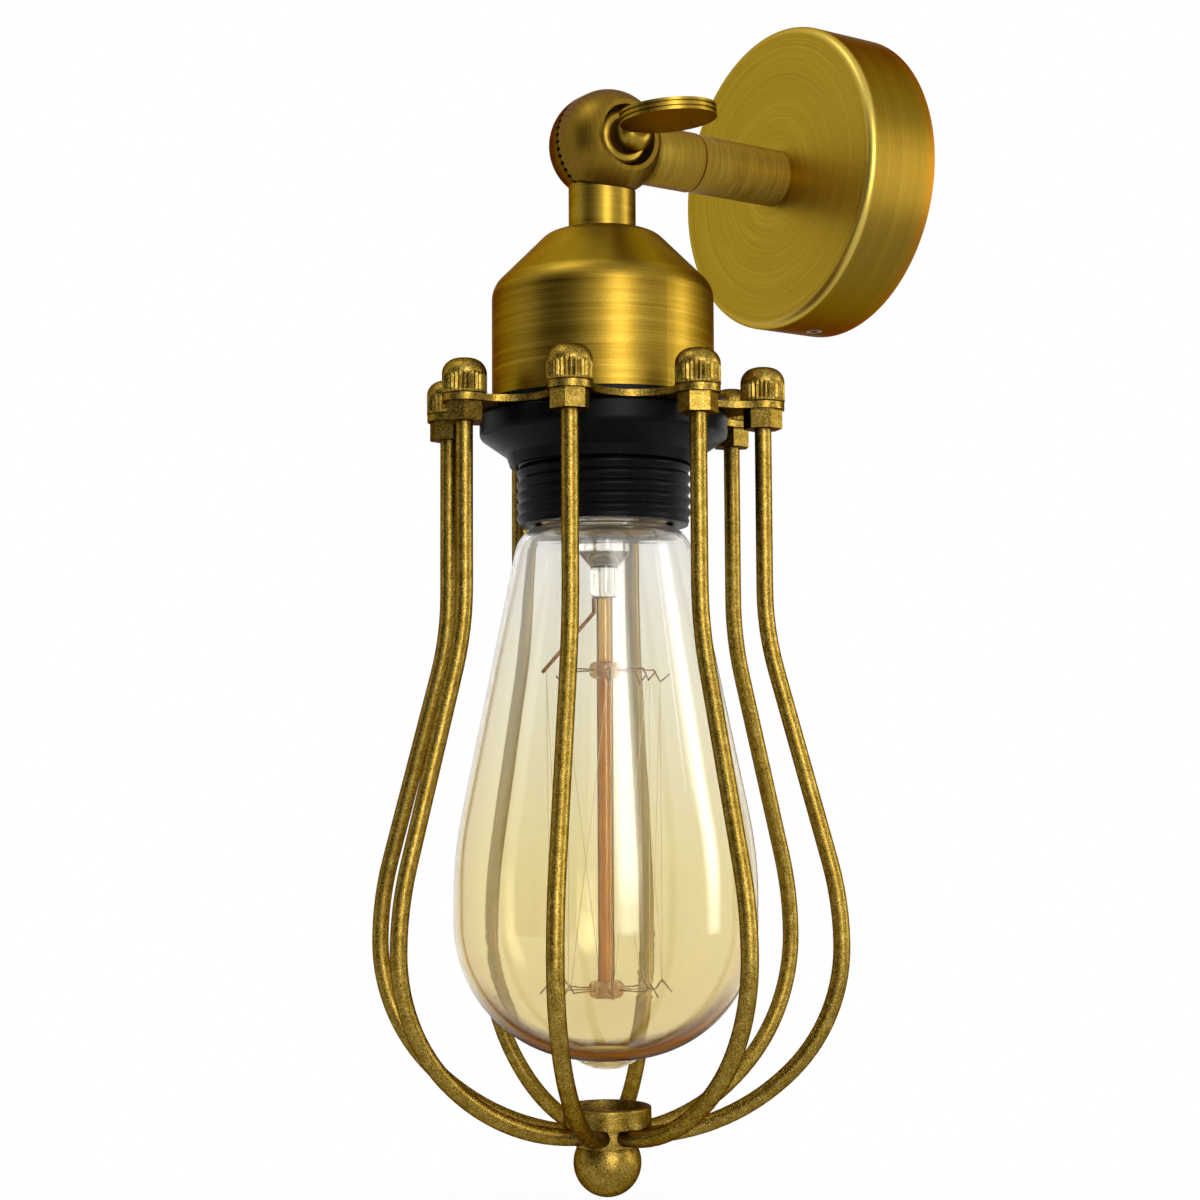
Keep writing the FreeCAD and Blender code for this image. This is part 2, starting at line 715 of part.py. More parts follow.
def serrations(body, side):
    """Square notches across the flat rim of a half, all round."""
    half, ball = dim("tooth_width") / 2, dim("ball_radius")
    floor = (dim("gap") / 2 + dim("tooth_depth")) * side
    corners = [(0, -half), (floor, -half), (floor, half), (0, half)]
    notch = draw(new_sketch(body, "XY"), corners)
    cut = pocketed(body, notch, ball + dim("gap") / 2, reverse=True)
    repeated(body, cut, axis_of(body, "X"), "tooth_count")


def clear_lamp_half(body):
    """Takes away what reaches over the split plane, a gap outside the lamp half's ball."""
    room = dim("ball_radius") + dim("gap")
    near = dim("gap") / 2
    rim = root(room * room - near * near)
    corners = [(0, near), (rim, near), (room, 0), Bend(room, -1), (0, -room)]
    turned(body, "X", corners, cut=True)


def clear_arm_half(body):
    """Takes away what reaches over the split plane, a gap outside the arm half."""
    room, lip = dim("ball_radius") + dim("gap"), dim("recess_radius") + dim("recess_wall")
    near, reach = dim("gap") / 2, dim("lip_reach")
    turned(body, "X", [
        (0, -near),
        (room, -near),
        (room, dim("ball_flat")),
        Bend(arm_half_round() + dim("gap"), 1),
        (lip + dim("gap"), reach),
        (0, reach),
    ], cut=True)


def lead_passage(body, side, axis, length):
    """The bore for the leads, from the hollow of the ball out through the stem or neck."""
    offset = dim("lead_radius") * 0.6 * side
    sketch = new_sketch(body, "XZ" if axis == "Y" else "XY")
    draw_circle(sketch, offset, 0, dim("lead_radius"))
    pocketed(body, sketch, length)


def arm_knuckle():
    """The arm's half of the knuckle: toothed half ball, stem, spigot and washer recess."""
    body = new_body("arm_knuckle", on_lamp=True)
    ball, hole = dim("ball_radius"), dim("screw_radius") + dim("gap")
    start, reach = dim("gap") / 2, dim("lip_reach")
    turned(body, "X", [
        (hole, dim("boss_setback")),
        (dim("boss_radius"), dim("boss_setback")),
        (dim("boss_radius"), dim("cavity_depth")),
        (dim("tooth_inner"), dim("cavity_depth")),
        (dim("tooth_inner"), start),
        (ball, start),
        (ball, dim("ball_flat")),
        Bend(arm_half_round(), 1),
        (dim("recess_radius") + dim("recess_wall"), reach),
        (dim("recess_radius"), reach),
        (dim("recess_radius"), dim("recess_floor")),
        (hole, dim("recess_floor")),
    ])
    serrations(body, 1)
    stem, reach, bevel = dim("stem_radius"), dim("stem_reach"), dim("stem_chamfer")
    spigot = dim("nipple_radius")
    turned(body, "Y", [
        (0, dim("tooth_inner")),
        (stem, dim("tooth_inner")),
        (stem, reach - bevel),
        (stem - bevel, reach),
        (spigot, reach),
        (spigot, reach + dim("spigot_length")),
        (0, reach + dim("spigot_length")),
    ])
    clear_lamp_half(body)
    lead_passage(body, 1, "Y", reach + dim("spigot_length") + 1)


def lamp_knuckle():
    """The lamp's half of the knuckle: toothed half ball and the neck that carries the cup."""
    body = new_body("lamp_knuckle", on_lamp=True)
    start, ball = dim("gap") / 2, dim("ball_radius")
    hole = dim("screw_radius") + dim("thread_play")
    depth = dim("screw_depth") + dim("gap")
    face_edge = root(ball * ball - start * start)
    turned(body, "X", [
        (hole, -dim("boss_setback")),
        (hole, -depth),
        (0, -depth),
        (0, -ball),
        Bend(ball, 1),
        (face_edge, -start),
        (dim("tooth_inner"), -start),
        (dim("tooth_inner"), -dim("cavity_depth")),
        (dim("boss_radius"), -dim("cavity_depth")),
        (dim("boss_radius"), -dim("boss_setback")),
    ])
    serrations(body, -1)
    neck, reach = dim("neck_radius"), dim("neck_reach")
    turned(body, "Z", [
        (0, -dim("tooth_inner")), (neck, -dim("tooth_inner")), (neck, -reach), (0, -reach),
    ])
    clear_arm_half(body)
    lead_passage(body, -1, "Z", reach)
    sketch = new_sketch(body, "XY", (0, 0, -reach))
    draw_circle(sketch, 0, 0, dim("nipple_radius") + dim("thread_play"))
    pocketed(body, sketch, dim("cup_nipple_rise") + dim("gap"), reverse=True)


def thumb_screw():
    """Thumb screw: shank, domed hub and a flat round paddle with a grooved rim."""
    gap = dim("gap")
    low = dim("recess_floor") + gap
    top = low + dim("thumb_washer_sheet")
    shank_room = dim("screw_radius") + dim("thread_play")
    washer = new_body("thumb_washer", on_lamp=True)
    rim, edge = dim("thumb_washer_radius"), low + dim("thumb_washer_edge")
    run, rise = rim - dim("hub_radius"), top - edge
    turned(washer, "X", [
        (shank_room, low),
        (rim, low),
        (rim, edge),
        Bend((run * run + rise * rise) / (2 * rise), 1),
        (dim("hub_radius"), top),
        (shank_room, top),
    ])
    body = new_body("thumb_screw", on_lamp=True)
    turn_about_x(body, "paddle_turn")
    hub, reach = dim("hub_radius"), dim("hub_reach")
    turned(body, "X", [
        (0, -dim("screw_depth")),
        (dim("screw_radius"), -dim("screw_depth")),
        (dim("screw_radius"), top + gap),
        (hub, top + gap),
        (hub, reach, hub * 0.7),
        (0, reach),
    ])
    centre, radius, half = dim("paddle_centre"), dim("paddle_radius"), dim("paddle_sheet") / 2
    rise, groove = dim("paddle_rise"), dim("paddle_groove")
    sketch = draw_circle(new_sketch(body, "XY", (0, 0, rise)), centre, 0, radius)
    padded(body, sketch, 2 * half, both_ways=True)
    for level in (half * 0.4, -half * 0.4):
        sketch = new_sketch(body, "XY", (0, 0, rise + level))
        draw_circle(sketch, centre, 0, radius + groove)
        draw_circle(sketch, centre, 0, radius - groove)
        pocketed(body, sketch, half * 0.3, both_ways=True)


# ---- cup and lampholder ----------------------------------------------------------------


def lamp_cup():
    """Spun brass cup: flat top, straight cone, rounded shoulder and cylinder."""
    body = new_body("lamp_cup", on_lamp=True)
    wall, top, radius = dim("cup_wall"), dim("cup_top"), dim("cup_radius")
    high, shoulder, mouth = dim("neck_reach"), dim("cup_shoulder"), dim("cup_mouth")
    upper, lower = dim("cup_top_round"), dim("cup_shoulder_round")
    hole = dim("nipple_radius") + dim("thread_play")
    turned(body, "Z", [
        (hole, -high),
        (top, -high, upper),
        (radius, -shoulder, lower),
        (radius, -mouth),
        (radius - wall, -mouth),
        (radius - wall, -shoulder - wall * 0.4, lower - wall),
        (top - wall * 0.4, -high - wall, upper - wall),
        (hole, -high - wall),
    ])


def cup_fixing():
    """The nipple from the neck into the lampholder, and the nut inside the cup."""
    radius, play = dim("nipple_radius"), dim("thread_play")
    high = dim("cup_nipple_rise") - dim("neck_reach")
    low = high - dim("cup_nipple_length")
    ring_body("cup_nipple", "Z", dim("nipple_bore"), radius, low, high, True)
    nut = new_body("cup_nut", on_lamp=True)
    seat = -dim("neck_reach") - dim("cup_wall")
    sketch = draw(new_sketch(nut, "XY", (0, 0, seat)), hexagon(dim("nut_flats")))
    draw_circle(sketch, 0, 0, radius + play)
    padded(nut, sketch, dim("nut_depth"), reverse=True)


def holder_top():
    """Height of the joint between the lampholder's cap and body."""
    return -dim("neck_reach") - dim("holder_cap_drop") - dim("holder_cap_height")


def lampholder_cap():
    """Black cap of the lampholder, screwed on the nipple."""
    body = new_body("lampholder_cap", on_lamp=True)
    low = holder_top()
    high = low + dim("holder_cap_height")
    skirt = low + dim("holder_cap_skirt")
    wall, radius, collar = dim("holder_wall"), dim("holder_radius"), dim("holder_collar")
    hole = dim("nipple_radius") + dim("thread_play")
    ledge = skirt + (radius - collar) / 2
    turned(body, "Z", [
        (hole, high),
        (hole, ledge - wall),
        (collar, ledge - wall),
        (radius - wall, skirt - wall),
        (radius - wall, low),
        (radius, low),
        (radius, skirt, dim("holder_cap_round")),
        (collar, ledge),
        (collar, high),
    ])


def lampholder_body():
    """Threaded black body of the lampholder, with a shelf inside."""
    body = new_body("lampholder_body", on_lamp=True)
    high, mouth = holder_top(), -dim("holder_mouth")
    root_radius, crest, pitch = dim("holder_radius"), dim("thread_radius"), dim("thread_pitch")
    bore, shelf = dim("mouth_radius"), dim("shelf_radius")
    shelf_top = high - dim("carrier_height") - dim("thread_play")
    corners = [
        (bore, high),
        (bore, shelf_top),
        (shelf, shelf_top),
        (shelf, shelf_top - dim("shelf_sheet")),
        (bore, shelf_top - dim("shelf_sheet")),
        (bore, mouth),
        (root_radius, mouth),
    ]
    for turn in range(count("thread_turns")):
        start = mouth + pitch * (turn + 0.15)
        corners += [
            (root_radius, start),
            (crest, start + pitch * 0.25),
            (crest, start + pitch * 0.45),
            (root_radius, start + pitch * 0.7),
        ]
    plain = mouth + pitch * (dim("thread_turns") + 0.2)
    corners += [(root_radius, plain), (crest, plain + pitch * 0.25), (crest, high)]
    turned(body, "Z", corners)


def lampholder_insides():
    """Contact carrier, terminal screws, screw shell and centre contact."""
    high = holder_top()
    low = high - dim("carrier_height")
    bore = dim("mouth_radius") - dim("thread_play")
    carrier = new_body("contact_carrier", on_lamp=True)
    turned(carrier, "Z", [(0, low), (bore, low), (bore, high), (0, high)])
    holes = new_sketch(carrier, "XY", (0, 0, high))
    draw_circle(holes, dim("terminal_circle"), 0, dim("terminal_radius") * 0.6)
    hole = pocketed(carrier, holes, dim("carrier_height") / 2)
    repeated(carrier, hole, axis_of(carrier, "Z"), "terminal_count")

    screws = new_body("terminal_screws", on_lamp=True)
    screws.AllowCompound = True
    shank = new_sketch(screws, "XY", (0, 0, high))
    draw_circle(shank, dim("terminal_circle"), 0, dim("terminal_radius") * 0.6 - 0.05)
    padded(screws, shank, dim("carrier_height") / 2 - 0.2, reverse=True)
    head = new_sketch(screws, "XY", (0, 0, high))
    draw_circle(head, dim("terminal_circle"), 0, dim("terminal_radius"))
    pad = padded(screws, head, dim("terminal_height"))
    repeated(screws, pad, axis_of(screws, "Z"), "terminal_count", whole=True)

    inner = dim("lamp_cap_radius") + dim("shell_play")
    outer = inner + dim("shell_sheet")
    foot = low - dim("shell_height")
    ring_body("screw_shell", "Z", inner, outer, foot, low, True)

    leaf = new_body("centre_contact", on_lamp=True)
    half, sheet_size = dim("leaf_half"), dim("leaf_sheet")
    foot = contact_top() + dim("gap")
    sketch = draw(new_sketch(leaf, "XZ"), [
        (-half, low),
        (-half, low - sheet_size),
        (-half / 2, low - sheet_size),
        (-half / 4, foot),
        (half / 2, foot),
        (half / 2, foot + sheet_size),
        (-half / 8, foot + sheet_size),
        (-half / 3, low),
    ])
    padded(leaf, sketch, dim("leaf_width"), both_ways=True)


def plate_top():
    """Upper face of the cage's ring plate."""
    return -dim("cup_mouth") - dim("upper_flange")


def upper_shade_ring():
    """Black ring between the cup's mouth and the cage, screwed on the lampholder."""
    body = new_body("upper_shade_ring", on_lamp=True)
    bore = dim("thread_radius") + dim("thread_play")
    low, flange = plate_top(), plate_top() + dim("upper_flange")
    collar = dim("upper_collar_radius")
    high = flange + dim("upper_collar_height")
    turned(body, "Z", [
        (bore, low),
        (dim("upper_flange_radius"), low),
        (dim("upper_flange_radius"), flange),
        (collar, flange),
        (collar, high),
        (bore, high),
    ])


def lower_shade_ring():
    """Black ring nut under the cage's ring plate, with a tapered skirt."""
    body = new_body("lower_shade_ring", on_lamp=True)
    high = plate_top() - dim("plate_sheet") - dim("gap")
    low = high - dim("lower_height")
    rim = high - dim("lower_rim")
    bore = dim("thread_radius") + dim("ring_play")
    turned(body, "Z", [
        (bore, low),
        (dim("lower_foot"), low),
        (dim("lower_waist"), rim - dim("lower_taper")),
        (dim("lower_flange_radius"), rim, dim("lower_rim_round")),
        (dim("lower_flange_radius"), high, dim("lower_edge_round")),
        (bore, high),
    ])


# ---- cage ------------------------------------------------------------------------------


def cage_ring():
    """Ring plate with a lobe for each wire and a scallop between lobes, tangent to both."""
    body = new_body("cage_ring", on_lamp=True)
    circle, lobe, valley = dim("lobe_circle"), dim("lobe_radius"), dim("valley_radius")
    half_step = 180 / dim("lobe_count")
    across = circle * cosine(half_step)
    rest = valley * valley + circle * circle - 2 * valley * across - lobe * lobe
    scallop = rest / (2 * (across + lobe - valley))
    scallop_circle = valley + scallop
    share = lobe / (lobe + scallop)
    touch_x = circle + share * (scallop_circle * cosine(half_step) - circle)
    touch_y = share * scallop_circle * sine(half_step)
    disc = root(touch_x * touch_x + touch_y * touch_y)
    sketch = draw_circle(new_sketch(body, "XY", (0, 0, plate_top())), 0, 0, disc)
    draw_circle(sketch, 0, 0, dim("plate_bore"))
    padded(body, sketch, dim("plate_sheet"), reverse=True)
    sketch = new_sketch(body, "XY", (0, 0, plate_top()))
    pad = padded(body, draw_circle(sketch, circle, 0, lobe), dim("plate_sheet"), reverse=True)
    repeated(body, pad, axis_of(body, "Z"), "lobe_count")
    sketch = new_sketch(body, "XY", (0, 0, plate_top()))
    draw_circle(sketch, scallop_circle * cosine(half_step), scallop_circle * sine(half_step),
                scallop)
    cut = pocketed(body, sketch, dim("plate_sheet"))
    repeated(body, cut, axis_of(body, "Z"), "lobe_count")
    sketch = new_sketch(body, "XY", (0, 0, plate_top()))
    draw_circle(sketch, circle, 0, dim("wire_radius") + dim("thread_play"))
    cut = pocketed(body, sketch, dim("plate_sheet"))
    repeated(body, cut, axis_of(body, "Z"), "lobe_count")


def wire_points():
    """Corners of a wire's centre line as (from the lamp axis, height), with its bends."""
    ring, belly, slope = dim("lobe_circle"), dim("belly_radius"), dim("flare_angle")
    level = -dim("belly_drop")
    flare, upper = dim("flare_bend"), dim("belly_bend")
    shoulder, turn, floor = dim("shoulder_bend"), dim("shoulder_angle"), dim("floor_bend")
    cone_end = (belly - upper * (1 - cosine(slope)), level + upper * sine(slope))
    cone_start_x = ring + flare * (1 - cosine(slope))
    cone_start = (cone_start_x, cone_end[1] + (cone_end[0] - cone_start_x) / tangent(slope))
    straight_end = (ring, cone_start[1] + flare * sine(slope))
    knee = (belly - shoulder * (1 - cosine(turn)), level - shoulder * sine(turn))
    centre = (knee[0] - floor * cosine(turn), knee[1] + floor * sine(turn))
    run = dim("wire_end") - centre[0]
    end = (dim("wire_end"), centre[1] - root(floor * floor - run * run))
    return [
        (ring, plate_top() + dim("wire_rise")),
        straight_end,
        Bend(flare, 1),
        cone_start,
        cone_end,
        Bend(upper, -1),
        (belly, level),
        Bend(shoulder, -1),
        knee,
        Bend(floor, -1),
        end,
    ]


def wire_floor():
    """Height of the wires' centre lines where they enter the hub."""
    return wire_points()[-1][1]


def cage_wires():
    """One bent wire at each lobe, from its cap nut down to the hub."""
    total = count("lobe_count")
    for number in range(total):
        name = "cage_wire_%d" % (number + 1)
        body = new_body(name, on_lamp=True, spin=360.0 * number / total)
        path = draw(new_sketch(body, "XZ"), wire_points(), closed=False)
        start = new_sketch(body, "XY", (0, 0, plate_top() + dim("wire_rise")))
        draw_circle(start, dim("lobe_circle"), 0, dim("wire_radius"))
        pipe = body.newObject("PartDesign::AdditivePipe", name + "_pipe")
        pipe.Profile = start
        pipe.Spine = (path, [])
        body.Tip = pipe


def cap_nuts():
    """Knurled cap nuts on top of the ring plate, one on each wire."""
    body = new_body("cap_nuts", on_lamp=True)
    body.AllowCompound = True
    circle, radius, height = dim("lobe_circle"), dim("cap_nut_radius"), dim("cap_nut_height")
    hole, low = dim("wire_radius") + dim("thread_play"), plate_top()
    depth = dim("wire_rise") + dim("gap")
    profile = draw(new_sketch(body, "XZ", (circle, 0, 0)), [
        (hole, low),
        (radius, low),
        (radius, low + height, dim("cap_nut_dome")),
        (0, low + height),
        (0, low + depth),
        (hole, low + depth),
    ])
    nut = body.newObject("PartDesign::Revolution", "cap_nut_turned")
    nut.Profile = profile
    nut.ReferenceAxis = (profile, ["V_Axis"])
    nut.Angle = 360
    body.Tip = nut
    flute = new_sketch(body, "XY", (circle, 0, low))
    bottom = radius - dim("knurl_depth")
    half = radius * tangent(180 / dim("knurl_count")) * 0.7
    draw(flute, [(bottom, 0), (radius + 0.2, -half), (radius + 0.2, half)])
    cut = pocketed(body, flute, height - dim("cap_nut_dome"), reverse=True)
    knurl = repeated(body, cut, (flute, ["N_Axis"]), "knurl_count")
    repeated(body, knurl, axis_of(body, "Z"), "lobe_count", whole=True)


def hex_nuts():
    """Hexagon nuts under the ring plate, one on each wire."""
    body = new_body("hex_nuts", on_lamp=True)
    body.AllowCompound = True
    circle, low = dim("lobe_circle"), plate_top() - dim("plate_sheet")
    sketch = draw(new_sketch(body, "XY", (circle, 0, low)), hexagon(dim("hex_flats")))
    draw_circle(sketch, 0, 0, dim("wire_radius") + dim("thread_play"))
    pad = padded(body, sketch, dim("hex_height"), reverse=True)
    repeated(body, pad, axis_of(body, "Z"), "lobe_count", whole=True)


def hub_levels():
    """Top of the hub's core, its foot, the hub's rim and the floor of its hollow."""
    above = wire_floor() + dim("wire_radius") + dim("gap") / 2
    foot = wire_floor() - dim("wire_radius") - dim("thread_play") - dim("hub_core_skin")
    rim = above + dim("hub_cup_height")
    return above, foot, rim, rim - dim("hub_cup_depth")


def cage_hub():
    """Turned hub: a shallow cup on a core that takes the wires' ends in radial holes."""
    body = new_body("cage_hub", on_lamp=True)
    above, foot, rim, hollow = hub_levels()
    core, cup, bore = dim("hub_core_radius"), dim("hub_cup_radius"), dim("hub_cup_bore")
    hole = dim("finial_screw_radius") + dim("thread_play")
    turned(body, "Z", [
        (hole, foot),
        (core, foot),
        (core, above),
        (cup, above),
        (cup, rim, dim("hub_edge_round")),
        (bore, rim),
        (bore, hollow),
        (hole, hollow),
    ])
    start = dim("wire_end") - dim("thread_play")
    sketch = new_sketch(body, "YZ", (0, wire_floor(), start))
    draw_circle(sketch, 0, 0, dim("wire_radius") + dim("thread_play"))
    cut = pocketed(body, sketch, core - start + 0.5, reverse=True)
    repeated(body, cut, axis_of(body, "Z"), "lobe_count")


def finial():
    """Ball under the hub and the screw that holds it."""
    above, foot, rim, hollow = hub_levels()
    ball, drop = dim("finial_radius"), dim("finial_drop")
    centre = foot - drop
    flat = root(ball * ball - drop * drop)
    hole = dim("finial_screw_radius") + dim("thread_play")
    end = hollow - dim("finial_screw_length")
    body = new_body("ball_finial", on_lamp=True)
    turned(body, "Z", [
        (hole, foot),
        (flat, foot),
        Bend(ball, -1),
        (ball, centre),
        Bend(ball, -1),
        (0, centre - ball),
        (0, end - dim("gap")),
        (hole, end - dim("gap")),
    ])
    screw = new_body("finial_screw", on_lamp=True)
    head, tall = dim("finial_head_radius"), dim("finial_head_height")
    turned(screw, "Z", [
        (0, end),
        (dim("finial_screw_radius"), end),
        (dim("finial_screw_radius"), hollow),
        (head, hollow),
        (head, hollow + tall * 0.5),
        (head * 0.7, hollow + tall),
        (0, hollow + tall),
    ])


# ---- lamp ------------------------------------------------------------------------------


def contact_top():
    """Top of the lamp's contact button."""
    insulator = dim("lamp_cap_height") - dim("lamp_cap_edge") + dim("insulator_height")
    return insulator + dim("gap") + dim("button_height")


def lamp_cap():
    """Screw cap of the lamp, its insulator and the contact button."""
    edge, high = -dim("lamp_cap_edge"), dim("lamp_cap_height") - dim("lamp_cap_edge")
    radius, wall, skirt = dim("lamp_cap_radius"), dim("lamp_cap_wall"), dim("lamp_cap_skirt")
    body = new_body("bulb_cap", on_lamp=True)
    flare = skirt - radius
    turned(body, "Z", [
        (radius - wall, high),
        (radius - wall, edge + flare + wall),
        (skirt - wall, edge),
        (skirt, edge),
        (radius, edge + flare + wall),
        (radius, high),
    ])
    insulator = new_body("bulb_insulator", on_lamp=True)
    top = high + dim("insulator_height")
    button = dim("button_radius")
    turned(insulator, "Z", [
        (0, high - dim("insulator_height") / 2),
        (radius - wall, high - dim("insulator_height") / 2),
        (radius - wall, high),
        (radius, high),
        (button, top),
        (0, top),
    ])
    contact = new_body("bulb_contact", on_lamp=True)
    low = top + dim("gap")
    turned(contact, "Z", [
        (0, low), (button, low), (button * 0.7, contact_top()), (0, contact_top()),
    ])


def lamp_glass():
    """The lamp's envelope: neck, cone, crown and sealed tip."""
    body = new_body("bulb_glass", on_lamp=True)
    wall, neck, shoulder = dim("glass_wall"), dim("glass_neck"), dim("glass_shoulder")
    radius, edge, bottom = dim("glass_radius"), -dim("lamp_cap_edge"), -dim("glass_bottom")
    high = edge + dim("glass_top")
    below = edge - dim("glass_shoulder_drop")
    cone = below - dim("glass_waist_drop")
    crown, cheek, turn = dim("glass_crown"), dim("glass_cheek"), dim("glass_neck_round")
    tip, tip_height = dim("tip_radius"), dim("tip_height")
    flat = radius - crown
    lift = crown - root(crown * crown - (tip - flat) * (tip - flat))
    bowl = tip_height + lift
    turned(body, "Z", [
        (neck, high),
        (neck, edge - dim("glass_step")),
        (shoulder, below, turn),
        (radius, cone, cheek),
        (radius, bottom + crown),
        Bend(crown, -1),
        (tip, bottom + lift),
        Bend((tip * tip + bowl * bowl) / (2 * bowl), -1),
        (0, bottom - tip_height),
        (0, bottom + wall),
        (radius - wall, bottom + wall, crown - wall),
        (radius - wall, cone, cheek - wall),
        (shoulder - wall, below - wall, turn - wall),
        (neck - wall, edge - dim("glass_step") - wall),
        (neck - wall, high),
    ])


def bent_wire(body, corners, radius):
    """A wire bent in the body's XZ plane, its first run square to the lamp axis."""
    path = draw(new_sketch(body, "XZ"), corners, closed=False)
    start = new_sketch(body, "YZ", (0, corners[0][1], corners[0][0]))
    draw_circle(start, 0, 0, radius)
    pipe = body.newObject("PartDesign::AdditivePipe", body.Name + "_pipe")
    pipe.Profile = start
    pipe.Spine = (path, [])
    pipe.Transition = "Right corner"
    body.Tip = pipe
    return pipe


def hook_ring(ring, level):
    """A glass bead on the rod and the hooks that stand out of it."""
    turn = sheet.hook_turn
    if ring == "upper":
        turn += 360.0 / count("hook_places")
    body = new_body(ring + "_hooks", on_lamp=True, spin=turn)
    bead, half, curve = dim(ring + "_bead"), dim("bead_height") / 2, dim("bead_round")
    hole = dim("rod_radius") + dim("thread_play")
    turned(body, "Z", [
        (hole, level - half),
        (bead, level - half, curve),
        (bead, level + half, curve),
        (hole, level + half),
    ])
    run = dim("hook_run")
    hook = bent_wire(body, [
        (bead - dim("hook_root"), level),
        (run, level),
        (run + dim("crook_run"), level + dim(ring + "_crook")),
        (run + dim("tip_run"), level + dim(ring + "_tip")),
    ], dim("hook_radius"))
    pattern = repeated(body, hook, axis_of(body, "Z"), "hook_places")
    if ring == "upper":
        places = count("hook_places")
        pattern.setExpression("Occurrences", "dims.hook_places - 1")
        pattern.Occurrences = places - 1
        pattern.Angle = 360.0 * (places - 2) / places
        pattern.setExpression("Angle", "360 * (1 - 2 / dims.hook_places)")


def lamp_insides():
    """Glass stem, rod, the two rings of hooks, the filament and its leads."""
    foot, tube = -dim("stem_foot"), dim("stem_tube")
    edge, wide, shoulder = -dim("lamp_cap_edge"), dim("stem_bulb"), -dim("stem_shoulder")
    flare = dim("glass_neck") - dim("glass_wall") - dim("flare_room")
    radius, taper = dim("rod_radius"), dim("stem_taper")
    stem = new_body("glass_stem", on_lamp=True)
    turned(stem, "Z", [
        (0, foot),
        (tube, foot, tube - radius),
        (tube, shoulder - taper),
        (wide, shoulder, taper / 2),
        (wide, edge),
        (flare, edge + wide),
        (flare, edge + wide + dim("flare_edge")),
        (0, edge + wide + dim("flare_edge")),
    ])
    rod = new_body("glass_rod", on_lamp=True)
    rod_foot = -dim("rod_foot")
    turned(rod, "Z", [
        (0, foot), (radius, foot), (radius, rod_foot, radius * 0.6), (0, rod_foot),
    ])
    hook_ring("upper", foot - dim("upper_support"))
    hook_ring("lower", rod_foot + dim("lower_support"))
    filament()
    lead_wires()


def tube_along(name, points, radius):
    """A thin wire along straight runs, mitred at its corners."""
    path = Part.makePolygon(points)
    direction = (points[1] - points[0]).normalize()
    circle = Part.Wire([Part.makeCircle(radius, points[0], direction)])
    solid = path.makePipeShell([circle], True, False, 1)
    feature = doc.addObject("Part::Feature", name)
    feature.Label = name
    feature.Shape = solid
    feature.Placement = Placement(Vector(0, -dim("arm_reach").value, 0), Rotation())
    return feature


def polar(radius, angle, height):
    turn = math.radians(angle)
    return Vector(radius * math.cos(turn), radius * math.sin(turn), height)


def filament():
    """One long filament from lead to lead, round each lower and upper crook in turn."""
    places = count("hook_places")
    step, side = 360.0 / places, sheet.filament_side
    ring = sheet.hook_run + sheet.crook_run
    room = sheet.hook_radius + sheet.filament_radius + sheet.thread_play
    low = -sheet.rod_foot + sheet.lower_support + sheet.lower_crook - 2 * room
    high = -sheet.stem_foot - sheet.upper_support + sheet.upper_crook + 2 * room
    start = -sheet.stem_foot - sheet.lead_foot + 2 * sheet.lead_wire
    inset = sheet.lead_reach - 2 * sheet.lead_wire
    beside = sheet.lead_wire + sheet.filament_radius + sheet.thread_play
    clear = math.degrees(beside / inset)
    points = [polar(inset, sheet.hook_turn + sheet.lead_angle - clear, start)]
    for place in range(places):
        angle = sheet.hook_turn + step * place
        if place > 0:
            points.append(polar(ring, angle - side, high))
            points.append(polar(ring, angle + side, high))
        points.append(polar(ring, angle - side, low))
        points.append(polar(ring, angle + side, low))
    points.append(polar(inset, sheet.hook_turn - sheet.lead_angle - clear, start))
    nodes.append(tube_along("filament", points, sheet.filament_radius))


def lead_wires():
    """Two leads from the foot of the stem out to the ends of the filament."""
    leads = []
    for name, side in (("lead_near", 1), ("lead_far", -1)):
        angle = sheet.hook_turn + sheet.lead_angle * side
        foot = -sheet.stem_foot
        leads.append(tube_along(name, [
            polar(sheet.lead_root, angle, foot),
            polar(sheet.lead_root, angle, foot - sheet.lead_drop),
            polar(sheet.lead_reach, angle, foot - sheet.lead_foot),
        ], sheet.lead_wire))
    pair = doc.addObject("Part::Compound", "lead_wires")
    pair.Label = "lead_wires"
    pair.Links = leads
    nodes.append(pair)


# ---- the whole light -------------------------------------------------------------------


def check_and_write():
    """Stops on any failed object or empty cut, then writes one file for each sub-part."""
    for thing in doc.Objects:
        for word in ("Invalid", "Error"):
            if word in thing.State:
                raise RuntimeError("%s is %s" % (thing.Name, word))
    for cut in cuts:
        base = cut.BaseFeature
        if base is not None and cut.Shape.Volume > base.Shape.Volume - 1e-6:
            raise RuntimeError("%s cuts nothing" % cut.Name)
    os.makedirs("parts", exist_ok=True)
    for node in nodes:
        shape = node.Shape
        if shape.isNull() or not shape.isValid() or not shape.Solids:
            raise RuntimeError("%s has no valid shape" % node.Label)
        shape.exportStep("parts/%s.step" % node.Label)
    print("%d sub-parts written" % len(nodes))


def build():
    fill_sheet()
    wall_canopy()
    mounting_strap()
    canopy_screws()
    earth_fixing()
    arm_hardware()
    arm_tube()
    arm_knuckle()
    lamp_knuckle()
    thumb_screw()
    lamp_cup()
    cup_fixing()
    lampholder_cap()
    lampholder_body()
    lampholder_insides()
    upper_shade_ring()
    lower_shade_ring()
    cage_ring()
    cage_wires()
    cap_nuts()
    hex_nuts()
    cage_hub()
    finial()
    lamp_cap()
    lamp_glass()
    lamp_insides()
    doc.recompute()
    check_and_write()


build()
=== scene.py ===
import json
import math

import bpy
from mathutils import Matrix, Vector

